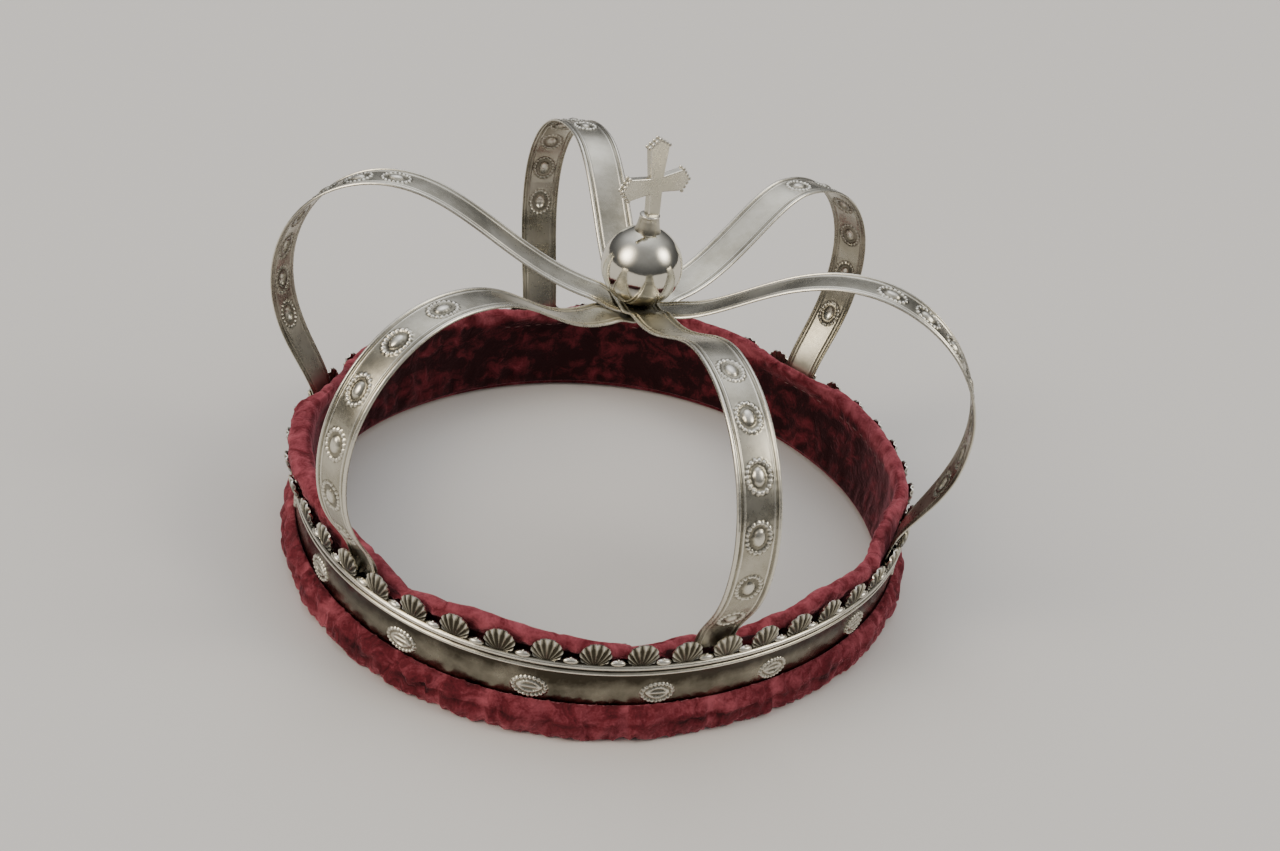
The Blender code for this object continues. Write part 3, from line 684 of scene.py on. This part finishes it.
def strapFace(across):
    # height in mm and wear of the plain strap, by the distance from its edge
    look = strapLook
    edge = look["halfWidth"] - abs(across)
    height = look["field"] + look["crown"] * max(1.0 - (across / look["crownHalf"]) ** 2, 0.0)
    wearAndPaintedLight = 0.42
    if edge < 2.0 * look["rim"]:
        base = look["edgeDrop"] + (look["field"] - look["edgeDrop"]) * edge / (2.0 * look["rim"])
        dome = bump(edge, look["rim"], look["rim"])
        height = base + (look["rimHeight"] - look["field"] + 0.15) * dome
        wearAndPaintedLight = 0.3 + 0.7 * dome
    elif edge < 1.6:
        wearAndPaintedLight = 0.18
    line = bump(edge, look["line"], look["lineHalf"])
    return height + look["lineHeight"] * line, max(wearAndPaintedLight, 0.3 + 0.6 * line if line > 0 else 0.0)


def acrossPlaces():
    half = strapLook["halfWidth"]
    edges = (0.0, 0.07, 0.2, 0.38, 0.55, 0.72, 0.9, 1.03, 1.1, 1.5, 1.88, 2.0, 2.2, 2.4, 2.52)
    left = [edge - half for edge in edges]
    inner = half - 2.55
    steps = 21
    field = [-inner + 2.0 * inner * k / steps for k in range(steps + 1)]
    return left + field + [-place for place in reversed(left)]


def alongPlaces(total, rosettes):
    # close rows over each rosette, wider ones between
    places = [0.0]
    half = 0.5 * strapRosette["size"][1] * mm + 0.0003
    while places[-1] < total:
        here = places[-1]
        near = any(abs(here - middle) < half + strapLook["coarseStep"] for middle in rosettes)
        places.append(here + (strapLook["fineStep"] if near else strapLook["coarseStep"]))
    places[-1] = total
    return places


def buildStrap(name, first, second, place, node):
    look = strapLook
    path, middle = strapPath(first, second, look["lowestHub"] + place * look["stack"])
    lengths = walkedLengths([point for point, _ in path])
    total = lengths[-1]
    # the rosettes of each arch stop at its top, two curves up from the foot
    top = 2 + 2 * look["steps"]
    firstTop, secondTop = lengths[top], total - lengths[-1 - top]
    rosettes = []
    for arch, topLength, backwards in ((first, firstTop, False), (second, secondTop, True)):
        start, pitch = rosetteRows[arch]
        wanted = start + look["freeHeight"] - look["footHeight"]
        while wanted < topLength:
            rosettes.append(total - wanted if backwards else wanted)
            wanted += pitch
    along = alongPlaces(total, rosettes)
    across = acrossPlaces()
    frames = pathFrames(path, lengths, along)
    bm, wearAndPaintedLight = newSheet(len(across) - 1, len(along) - 1)
    for vert in bm.verts:
        column = round((vert.co.x + 0.5) * (len(across) - 1))
        row = round((vert.co.y + 0.5) * (len(along) - 1))
        height, vert[wearAndPaintedLight] = strapFace(across[column])
        nearest = min(rosettes, key=lambda spot: abs(spot - along[row]))
        y = (along[row] - nearest) / mm
        if ovalShare(strapRosette, across[column], y) < 1.0:
            extra, vert[wearAndPaintedLight] = rosetteHeight(strapRosette, across[column], y)
            height += extra
        vert.co = frames[row] @ Vector((across[column] * mm, 0.0, height * mm))
    piece = newPiece(name, bm, stampedSilver, (node,))
    thicken(piece, "sheet", look["sheet"])


# orb, collar, cross and rivet

orbLow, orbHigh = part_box("orb")
crossLow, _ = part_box("cross")
rivetLow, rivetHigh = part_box("hub_rivet")
orbLook = {"radius": 0.0123, "height": 0.0979, "seat": orbLow.z, "top": orbHigh.z, "dent": 0.00006}
collarLook = {
    "profile": ((0.0, -0.0014), (0.0046, -0.0014), (0.0044, -0.0008), (0.0041, -0.0003), (0.0038, 0.0004),
                (0.0035, 0.0014), (0.0033, 0.0024), (0.0031, 0.0034), (0.0029, 0.0043), (0.0030, 0.0045),
                (0.0031, 0.0048), (0.0030, 0.0051), (0.0026, 0.0053), (0.0, 0.0054)),
    "steps": 48,
    "base": crossLow.z,
}
crossLook = {
    "middle": 0.1243, "thickness": 0.0024, "root": 0.0025, "end": 0.0034, "sideArm": 0.0116, "topArm": 0.0143,
    "point": 0.0022, "stem": 0.0101, "turn": math.radians(22.0), "lean": math.radians(-4.0),
    "edge": 0.00035, "bead": 0.00062, "beads": 3,
}
rivetLook = {"shank": 0.0016, "head": 0.0042, "dome": rivetLow.z, "headTop": rivetLow.z + 0.0016,
             "top": rivetHigh.z, "steps": 32}


def buildOrb():
    bm = bmesh.new()
    centre = hub + zAxis * orbLook["height"]
    bmesh.ops.create_uvsphere(bm, u_segments=72, v_segments=48, radius=orbLook["radius"],
                              matrix=Matrix.Translation(centre))
    for vert in bm.verts:
        way = (vert.co - centre).normalized()
        vert.co += way * orbLook["dent"] * noise.noise(way * 2.3)

    # painted shade: the lower part by the seat on the hub and the top under the collar are darker
    def worn(vert):
        low = 1.0 - smoothStep(vert.co.z, orbLook["seat"], orbLook["seat"] + 0.006)
        high = smoothStep(vert.co.z, orbLook["top"] - 0.0015, orbLook["top"])
        return 0.62 - 0.30 * max(low, high)

    paintWearAndPaintedLight(bm, worn)
    newPiece("orbBall", bm, polishedSilver, ("orb",))


def buildCollar():
    bm = spunShape(collarLook["profile"], hub + zAxis * collarLook["base"], collarLook["steps"])

    # a painted highlight on the ring at the top, and painted shade towards the foot where the collar meets
    # the orb
    def worn(vert):
        height = vert.co.z - collarLook["base"]
        return 0.1 + 0.6 * smoothStep(height, 0.0043, 0.0047) + 0.3 * smoothStep(height, -0.0004, 0.0015)

    paintWearAndPaintedLight(bm, worn)
    newPiece("crossCollar", bm, stampedSilver)


def crossOutline():
    look = crossLook
    right = [
        (0.85 * look["root"], -look["stem"]), (0.9 * look["root"], -look["root"]),
        (look["sideArm"] - look["point"], -look["end"]), (look["sideArm"], 0.0),
        (look["sideArm"] - look["point"], look["end"]), (0.9 * look["root"], look["root"]),
        (look["end"], look["topArm"] - look["point"]),
    ]
    return right + [(0.0, look["topArm"])] + [(-x, z) for x, z in reversed(right)]


def buildCross():
    look = crossLook
    half = 0.5 * look["thickness"]
    bm = bmesh.new()
    face = bm.faces.new([bm.verts.new((x, half, z)) for x, z in crossOutline()])
    extruded = bmesh.ops.extrude_face_region(bm, geom=[face], use_keep_orig=True)["geom"]
    for vert in [part for part in extruded if isinstance(part, bmesh.types.BMVert)]:
        vert.co.y = -half
    bmesh.ops.recalc_face_normals(bm, faces=bm.faces)
    rims = [edge for edge in bm.edges if len(edge.link_faces) == 2 and edge.calc_face_angle() > 0.6]
    bmesh.ops.bevel(bm, geom=rims, offset=look["edge"], offset_type="OFFSET", segments=3, profile=0.5,
                    affect="EDGES", material=-1)
    paintWearAndPaintedLight(bm, lambda vert: 0.5 + 0.3 * smoothStep(abs(vert.co.y), 0.0006, 0.0012))
    # a row of small beads along both edges of each gable end
    bead = bmesh.new()
    bmesh.ops.create_uvsphere(bead, u_segments=8, v_segments=6, radius=look["bead"])
    paintWearAndPaintedLight(bead, lambda vert: 1.0)
    arms = ((look["sideArm"], 0.0), (look["sideArm"], math.pi), (look["topArm"], 0.5 * math.pi))
    for reach, turn in arms:
        for side in (-1.0, 1.0):
            for index in range(look["beads"] + 1):
                share = index / look["beads"]
                along = reach - look["point"] * share
                across = side * look["end"] * share
                x = along * math.cos(turn) - across * math.sin(turn)
                z = along * math.sin(turn) + across * math.cos(turn)
                for y in (-half + 0.0004, half - 0.0004):
                    if side > 0.0 or index:
                        addCopy(bm, bead, Matrix.Translation((x, y, z)))
    bead.free()
    turn = Matrix.Rotation(look["turn"], 4, "Z") @ Matrix.Rotation(look["lean"], 4, "Y")
    bm.transform(Matrix.Translation(hub + zAxis * look["middle"]) @ turn)
    newPiece("crossPlate", bm, stampedSilver, ("cross",), smooth=False)


def buildRivet():
    look = rivetLook
    profile = [(0.0, look["top"]), (look["shank"], look["top"]), (look["shank"], look["headTop"]),
               (look["head"], look["headTop"])]
    for step in range(1, 8):
        angle = math.radians(90.0 * step / 7)
        profile.append((look["head"] * math.cos(angle),
                        look["headTop"] - (look["headTop"] - look["dome"]) * math.sin(angle)))
    profile[-1] = (0.0, look["dome"])
    bm = spunShape(profile, hub, look["steps"])
    paintWearAndPaintedLight(bm, lambda vert: 0.6)
    newPiece("hubRivet", bm, stampedSilver, ("hub_rivet",))


# velvet: the stuffed hem round the hoop's foot, and the sleeve folded over at the top

velvetShape = {
    "steps": 420,
    "hem": ((-3.6, 2.8), (-3.1, 0.6), (-2.0, 0.0), (0.6, 0.0), (2.3, 1.1), (3.0, 3.8), (2.8, 7.2),
            (1.6, 10.0), (-0.2, 10.9), (-0.9, 9.6), (-0.7, 3.8), (-1.0, 3.5), (-2.1, 3.5), (-2.4, 4.0),
            (-2.5, 9.0), (-3.0, 10.2), (-3.4, 9.4), (-3.7, 6.4)),
    "sleeve": ((-3.4, 9.2), (-3.6, 18.0), (-3.6, 25.8), (-2.8, 27.6), (-1.8, 29.7),
               (-1.6, 31.8), (-2.4, 33.5), (-4.1, 34.1), (-5.6, 33.0), (-6.2, 30.5),
               (-6.1, 27.8), (-5.6, 24.0), (-5.5, 16.0), (-5.4, 8.0), (-4.8, 2.4)),
    "cloth": 0.0009,
    "seams": 22,
    "edge": (
        # azimuth in degrees, how far in mm the folded edge stands above its mean height
        (-172, 2.0), (-156, 1.0), (-148, -2.4), (-138, -5.2), (-130, -1.8), (-122, -0.2), (-113, -1.5),
        (-94, -5.2), (-83, -5.6), (-76, -6.2), (-69, -2.2), (-58, 1.0), (-44, -0.8), (-28, 0.4), (-12, 1.0),
        (15, 0.2), (36, -1.4), (60, 1.0), (97, 0.0), (125, 1.6), (150, 0.8), (158, 2.2), (165, 4.2),
        (174, 3.0),
    ),
    "fold": (-0.0060, -0.0020),  # offsets across the fold; its shift sets in from foldLow to foldHigh
    "foldLow": 0.0262, "foldHigh": 0.0320, "foldTop": 0.0338, "riseLow": 0.0140,
    "middle": -0.0046,        # offset between the sleeve's outer and inner cloth
    "push": 0.0024,
    "pushHalf": math.radians(4.6),
    "pushFade": math.radians(7.0),
}


def edgeRise(azimuth):
    rows = velvetShape["edge"] + ((velvetShape["edge"][0][0] + 360, velvetShape["edge"][0][1]),)
    degrees = math.degrees(azimuth)
    if degrees < rows[0][0]:
        degrees += 360.0
    for (start, low), (end, high) in zip(rows, rows[1:]):
        if degrees <= end:
            return (low + (high - low) * smoothStep(degrees, start, end)) * mm
    return rows[-1][1] * mm


strapFeet = []
for degrees, *_ in arches.values():
    azimuth = math.radians(degrees)
    foot = hub + levelWay(azimuth) * footDistance(azimuth)
    strapFeet.append(math.atan2(foot.y, foot.x))
seamAzimuths = [math.tau * (index + 0.28 * math.sin(2.6 * index)) / velvetShape["seams"] - math.pi
                for index in range(velvetShape["seams"])]


def clothNoise(point, size, stretch, seed):
    # noise whose features are so large along the hoop and so much longer up the cloth
    return noise.noise(Vector((point.x / size + seed, point.y / size, point.z / (size * stretch))))


def clearShare(azimuth):
    # 0 behind a strap's foot, 1 away from it
    nearest = min(angleBetween(azimuth, foot) for foot in strapFeet)
    start = velvetShape["pushHalf"]
    return smoothStep(nearest, start, start + velvetShape["pushFade"])


def velvetPoint(azimuth, offset, height):
    # the folded edge waves, and stands back behind the strap feet
    look = velvetShape
    clear = clearShare(azimuth)
    foldShare = smoothStep(height, look["foldLow"], look["foldHigh"])
    outer = smoothStep(offset, *look["fold"])
    bulge = splay["fold"] * splayShare(azimuth) * outer
    shift = bulge * clear - look["push"] * (1.0 - clear)
    # inside the crown the cloth below the fold follows its rise and fall for longer
    inside = offset < look["middle"]
    riseShare = smoothStep(height, look["riseLow"], look["foldHigh"]) if inside else foldShare
    return planPoint(azimuth, offset + shift * foldShare, height + edgeRise(azimuth) * riseShare)


def openLine(points, spans):
    # the smooth loop's stretch between the first and last point
    line = smoothLoop(points, spans)
    return line[:(len(points) - 1) * spans + 1]


def layCloth(bm):
    # puts a spun ring in its place on the crown; gives the place on the ring of each vertex
    places = {vert: ringPlace(vert) for vert in bm.verts}
    for vert, place in places.items():
        vert.co = velvetPoint(*place)
    bm.normal_update()
    return places.items()


simulation = {
    "enlarge": 10.0,          # the solver is unsure of cloth this small, so it works on a larger copy
    "frames": 20,
    "hem": {"growth": 0.12, "pressure": 0.5, "bending": 0.2, "limit": 0.0008},
    "sleeve": {"growth": 0.06, "pressure": 0.0, "bending": 0.25, "limit": 0.0006},
}


def pucker(piece, free, growth, pressure, bending, limit):
    # the cloth grows against what holds it and puckers; the result stays in the mesh
    mesh = piece.data
    enlarge = simulation["enlarge"]
    start = [vert.co.copy() for vert in mesh.vertices]
    mesh.transform(Matrix.Scale(enlarge, 4))
    held = piece.vertex_groups.new(name="held")
    for index, share in enumerate(free):
        held.add([index], 1.0 - share, "REPLACE")
    cloth = piece.modifiers.new("growth", "CLOTH")
    for key, value in {
        "quality": 6, "tension_stiffness": 15.0, "compression_stiffness": 15.0, "bending_stiffness": bending,
        "vertex_group_mass": held.name, "shrink_min": -growth,
        "use_pressure": pressure > 0.0, "uniform_pressure_force": pressure,
    }.items():
        setattr(cloth.settings, key, value)
    cloth.settings.effector_weights.gravity = 0.0
    cloth.collision_settings.use_collision = False
    cloth.point_cache.frame_end = simulation["frames"]
    for frameNumber in range(1, simulation["frames"] + 1):
        bpy.context.scene.frame_set(frameNumber)
    grown = piece.evaluated_get(bpy.context.evaluated_depsgraph_get())
    ends = [vert.co / enlarge for vert in grown.data.vertices]
    piece.modifiers.remove(cloth)
    piece.vertex_groups.remove(held)
    bpy.context.scene.frame_set(1)
    for vert, first, last in zip(mesh.vertices, start, ends):
        move = last - first
        if move.length > limit:
            move *= limit / move.length
        vert.co = first + move
    mesh.update()
    furthest = max((last - first).length for first, last in zip(start, ends))
    print("puckered", piece.name, "furthest", round(furthest / mm, 2), "mm")


hemLook = {
    "outside": (-0.0006, 0.0012),  # offsets over which the relief sets in, m as the rest
    "raised": (-0.0002, 0.0008),   # heights over which it does
    "pinch": 0.0013, "pinchDepth": 0.0011,
    "ruck": 0.005, "ruckDepth": 0.0006, "ruckGrain": (0.0022, 3.0, 4.0),  # noise: size, stretch, seed
    "crease": 0.0007, "creaseDepth": 0.0007, "creaseGrain": (0.02, 1.0, 9.0), "creaseHeight": 0.0056,
    "lumps": ((0.011, 0.8, 1.0, 0.0004), (0.004, 0.7, 7.0, 0.00014)),
    "napGrain": (0.014, 0.5, 3.0),
    "napAndPaintedLight": (0.30, 0.35, 0.22, -0.45, 0.25),  # mean, by pinch, patch, crease (painted shade) and underside (painted sheen)
}


def buildHem():
    look = hemLook
    mean, byPinch, byPatch, byCreaseShade, byUndersideSheen = look["napAndPaintedLight"]
    bm = spunRing(smoothLoop(velvetShape["hem"], 3), velvetShape["steps"])
    napAndPaintedLight = bm.verts.layers.float.new("napAndPaintedLight")
    free = []
    for vert, (azimuth, offset, height) in layCloth(bm):
        outer = smoothStep(offset, *look["outside"])
        seam = min(angleBetween(azimuth, spot) for spot in seamAzimuths) * hoopPlan["radius"]
        pinch = math.exp(-(seam / look["pinch"]) ** 2)
        ruck = math.exp(-(seam / look["ruck"]) ** 2) * clothNoise(vert.co, *look["ruckGrain"])
        crease = math.exp(-((height - look["creaseHeight"]) / look["crease"]) ** 2)
        crease *= 0.6 + clothNoise(vert.co, *look["creaseGrain"])
        lump = sum(clothNoise(vert.co, *grain) * depth for *grain, depth in look["lumps"])
        depth = lump + look["ruckDepth"] * ruck - look["pinchDepth"] * pinch - look["creaseDepth"] * crease
        # the nap also paints shade along the crease and sheen on the lower outer edge
        vert[napAndPaintedLight] = mean + byPinch * pinch + byPatch * clothNoise(vert.co, *look["napGrain"]) \
            + byCreaseShade * abs(crease) + byUndersideSheen * (1.0 - smoothStep(height, 0.0004, 0.0022)) * outer
        free.append(smoothStep(offset, -0.0004, 0.0010) * smoothStep(seam, 0.0006, 0.0028)
                    * smoothStep(height, 0.0002, 0.0014))
        vert.co += vert.normal * depth * outer * smoothStep(height, *look["raised"])
    piece = newPiece("velvetHem", bm, velvet, ("velvet_lining",))
    pucker(piece, free, **simulation["hem"])
    return piece


sleeveLook = {
    "inner": (0.0046, 0.0054),     # how far inside the plan the inner cloth sets in, m as the rest
    "fold": (0.0275, 0.0315),      # heights where the fold sets in
    "held": (0.0030, 0.0070),      # heights where the lower edge stops being held
    "streak": (0.0075, 3.2, 2.0),  # noise: size, stretch, seed
    "patch": (0.009, 0.45, 11.0),
    "crumple": (0.0035, 1.2, 6.0),
    "crease": (0.006, 1.6, 5.0),
    "depth": (0.0006, 0.00025, -0.00025),    # by streak, crumple and crease
    "napAndPaintedLight": (-0.06, 0.50, 0.16, 0.34, 0.18),  # mean (low, a painted shade inside the crown), by fold (a painted sheen on the folded edge), streak, patch and crumple
}


def buildSleeve():
    look = sleeveLook
    byStreakDepth, byCrumpleDepth, byCreaseDepth = look["depth"]
    mean, byFoldSheen, byStreak, byPatch, byCrumple = look["napAndPaintedLight"]
    bm = spunRing(openLine(velvetShape["sleeve"], 4), velvetShape["steps"], closed=False)
    turnFaces(bm, zAxis, [face for face in bm.faces if face.calc_center_median().z > velvetShape["foldTop"]])
    napAndPaintedLight = bm.verts.layers.float.new("napAndPaintedLight")
    free = []
    for vert, (azimuth, offset, height) in layCloth(bm):
        inner = smoothStep(-offset, *look["inner"])
        fold = smoothStep(height, *look["fold"])
        streak, patch, crumple = (clothNoise(vert.co, *look[name]) for name in ("streak", "patch", "crumple"))
        ridge = 1.0 - abs(clothNoise(vert.co + Vector((vert.co.z, 0, 0)), *look["crease"])) * 2.0
        depth = byStreakDepth * streak * inner + byCrumpleDepth * crumple \
            + byCreaseDepth * max(ridge, 0.0) ** 4 * fold
        # painted sheen along the fold, and painted shade inside the crown from the low mean
        vert[napAndPaintedLight] = mean + byFoldSheen * fold + (byStreak * streak + byPatch * patch) * inner + byCrumple * crumple
        free.append(max(inner * smoothStep(height, *look["held"]), fold) * max(clearShare(azimuth), inner))
        vert.co += vert.normal * depth * max(inner, fold)
    piece = newPiece("velvetSleeve", bm, velvet)
    pucker(piece, free, **simulation["sleeve"])
    thicken(piece, "cloth", velvetShape["cloth"])
    return piece


stitchLook = {"height": 0.0272, "pitch": 0.0043, "length": 0.0026, "radius": 0.00015, "thread": "#7d5a58"}


def buildStitches(sleeve):
    # a row of running stitches that holds the folded edge, seen inside the crown
    look = stitchLook
    material, tree, shader = newMaterial("linenThread")
    setNode(tree, shader, {"Base Color": hexColour(look["thread"]), "Roughness": 0.8})
    cloth = BVHTree.FromPolygons([vert.co for vert in sleeve.data.vertices],
                                 [face.vertices for face in sleeve.data.polygons])
    stitch = bmesh.new()
    bmesh.ops.create_uvsphere(stitch, u_segments=6, v_segments=6, radius=1.0)
    stitch.transform(Matrix.Diagonal((0.5 * look["length"], look["radius"], look["radius"], 1.0)))
    stitches = bmesh.new()
    count = round(math.tau * hoopPlan["radius"] / look["pitch"])
    for index in range(count):
        azimuth = math.tau * index / count
        height = look["height"] + edgeRise(azimuth) + 0.0003 * math.sin(5.3 * index)
        hit = cloth.ray_cast(planCentre + zAxis * height, levelWay(azimuth))[0]
        worn = noise.noise(Vector((math.cos(azimuth), math.sin(azimuth), 0.4)) * 4.0) < -0.05
        if hit is None or worn:
            continue
        turn = planFrame(azimuth, 0.0, 0.0).to_3x3().to_4x4()
        tilt = Matrix.Rotation(math.radians(6.0 * math.sin(3.1 * index)), 4, "Y")
        addCopy(stitches, stitch, Matrix.Translation(hit - planCentre) @ turn @ tilt)
    stitch.free()
    newPiece("foldStitches", stitches, material)


print("building the velvet")
hem = buildHem()
sleeve = buildSleeve()
buildStitches(sleeve)
print("building the hoop and crest")
buildHoop()
buildCrest()
buildDrops()
buildHoopRosettes()
print("building the straps")
for strap in straps:
    buildStrap(*strap)
print("building the orb and cross")
buildOrb()
buildCollar()
buildCross()
buildRivet()


# floor, lights and camera

def buildFloor():
    bm = bmesh.new()
    bmesh.ops.create_grid(bm, x_segments=1, y_segments=1, size=4.0)
    material, tree, shader = newMaterial("palePaper")
    setNode(tree, shader, {"Base Color": hexColour("#d6d4d0"), "Roughness": 0.85, "Specular IOR Level": 0.2})
    floor = newObject("studioFloor", bm, material)


studio = {
    "boxes": (
        # way to the light, brightness, spread in degrees at half brightness, colour
        ((-0.79, -0.20, 0.58), 10.0, 12.0, "#fff3e2"),
        ((0.73, -0.27, 0.62), 9.0, 10.0, "#fff8ec"),
        ((0.05, 0.45, 0.89), 2.0, 22.0, "#f3f6ff"),
    ),
    "level": 0.10,            # brightness of the room at eye level
    "overhead": 0.48,
    "room": "#f1f1f4",
    "backdrop": "#c9c8c6",
}
view = {"place": (-0.1113, -0.4079, 0.2982), "azimuth": 16.72, "down": 31.25, "roll": 9.54, "lens": 43.54}


def buildRoom():
    # a dim room with a pale ceiling and two broad softboxes whose edges fade
    world = bpy.data.worlds.new("softRoom")
    world.use_nodes = True
    tree = world.node_tree
    place = addNode(tree, "TexCoord")
    way = addNode(tree, "VectorMath", {"operation": "NORMALIZE"}, {0: (place, "Generated")})
    parts = addNode(tree, "SeparateXYZ", {}, {0: (way, 0)})
    ceiling = addNode(tree, "MapRange",
                      {"interpolation_type": "SMOOTHSTEP", "From Min": 0.0, "From Max": 1.0,
                       "To Min": studio["level"], "To Max": studio["overhead"]}, {"Value": (parts, "Z")})
    total = addNode(tree, "VectorMath", {"operation": "SCALE", 0: hexColour(studio["room"])[:3]},
                    {"Scale": (ceiling, "Result")})
    for direction, brightness, spread, colour in studio["boxes"]:
        toward = addNode(tree, "VectorMath", {"operation": "DOT_PRODUCT", 1: Vector(direction).normalized()},
                         {0: (way, 0)})
        # falls to half at the spread, as a Gaussian does
        fall = math.log(2.0) / (1.0 - math.cos(math.radians(spread)))
        away = addNode(tree, "Math", {"operation": "MULTIPLY_ADD", 1: fall, 2: -fall},
                       {0: (toward, "Value")})
        glow = addNode(tree, "Math", {"operation": "POWER", 0: math.e}, {1: (away, "Value")})
        lamp = addNode(tree, "VectorMath",
                       {"operation": "SCALE", 0: [part * brightness for part in hexColour(colour)[:3]]},
                       {"Scale": (glow, "Value")})
        total = addNode(tree, "VectorMath", {"operation": "ADD"}, {0: (total, 0), 1: (lamp, 0)})
    light = addNode(tree, "Background", {}, {"Color": (total, 0)})
    backdrop = addNode(tree, "Background", {"Color": hexColour(studio["backdrop"])})
    ray = addNode(tree, "LightPath")
    # the camera sees a pale backdrop, everything else the room
    seen = addNode(tree, "MixShader", {}, {0: (ray, "Is Camera Ray"), 1: (light, 0), 2: (backdrop, 0)})
    tree.links.new(seen.outputs[0], tree.nodes["World Output"].inputs["Surface"])
    bpy.context.scene.world = world


def buildCamera():
    data = bpy.data.cameras.new("camera")
    data.lens = view["lens"]
    data.sensor_width = 36.0
    data.clip_start = 0.01
    camera = bpy.data.objects.new("camera", data)
    azimuth, down = math.radians(view["azimuth"]), math.radians(view["down"])
    level = math.cos(down)
    forward = Vector((level * math.sin(azimuth), level * math.cos(azimuth), -math.sin(down)))
    turn = forward.to_track_quat("-Z", "Y").to_matrix().to_4x4()
    roll = Matrix.Rotation(math.radians(view["roll"]), 4, "Z")
    camera.matrix_world = Matrix.Translation(view["place"]) @ turn @ roll
    bpy.context.scene.collection.objects.link(camera)
    bpy.context.scene.camera = camera


buildFloor()
buildRoom()
buildCamera()
print("studio ready")
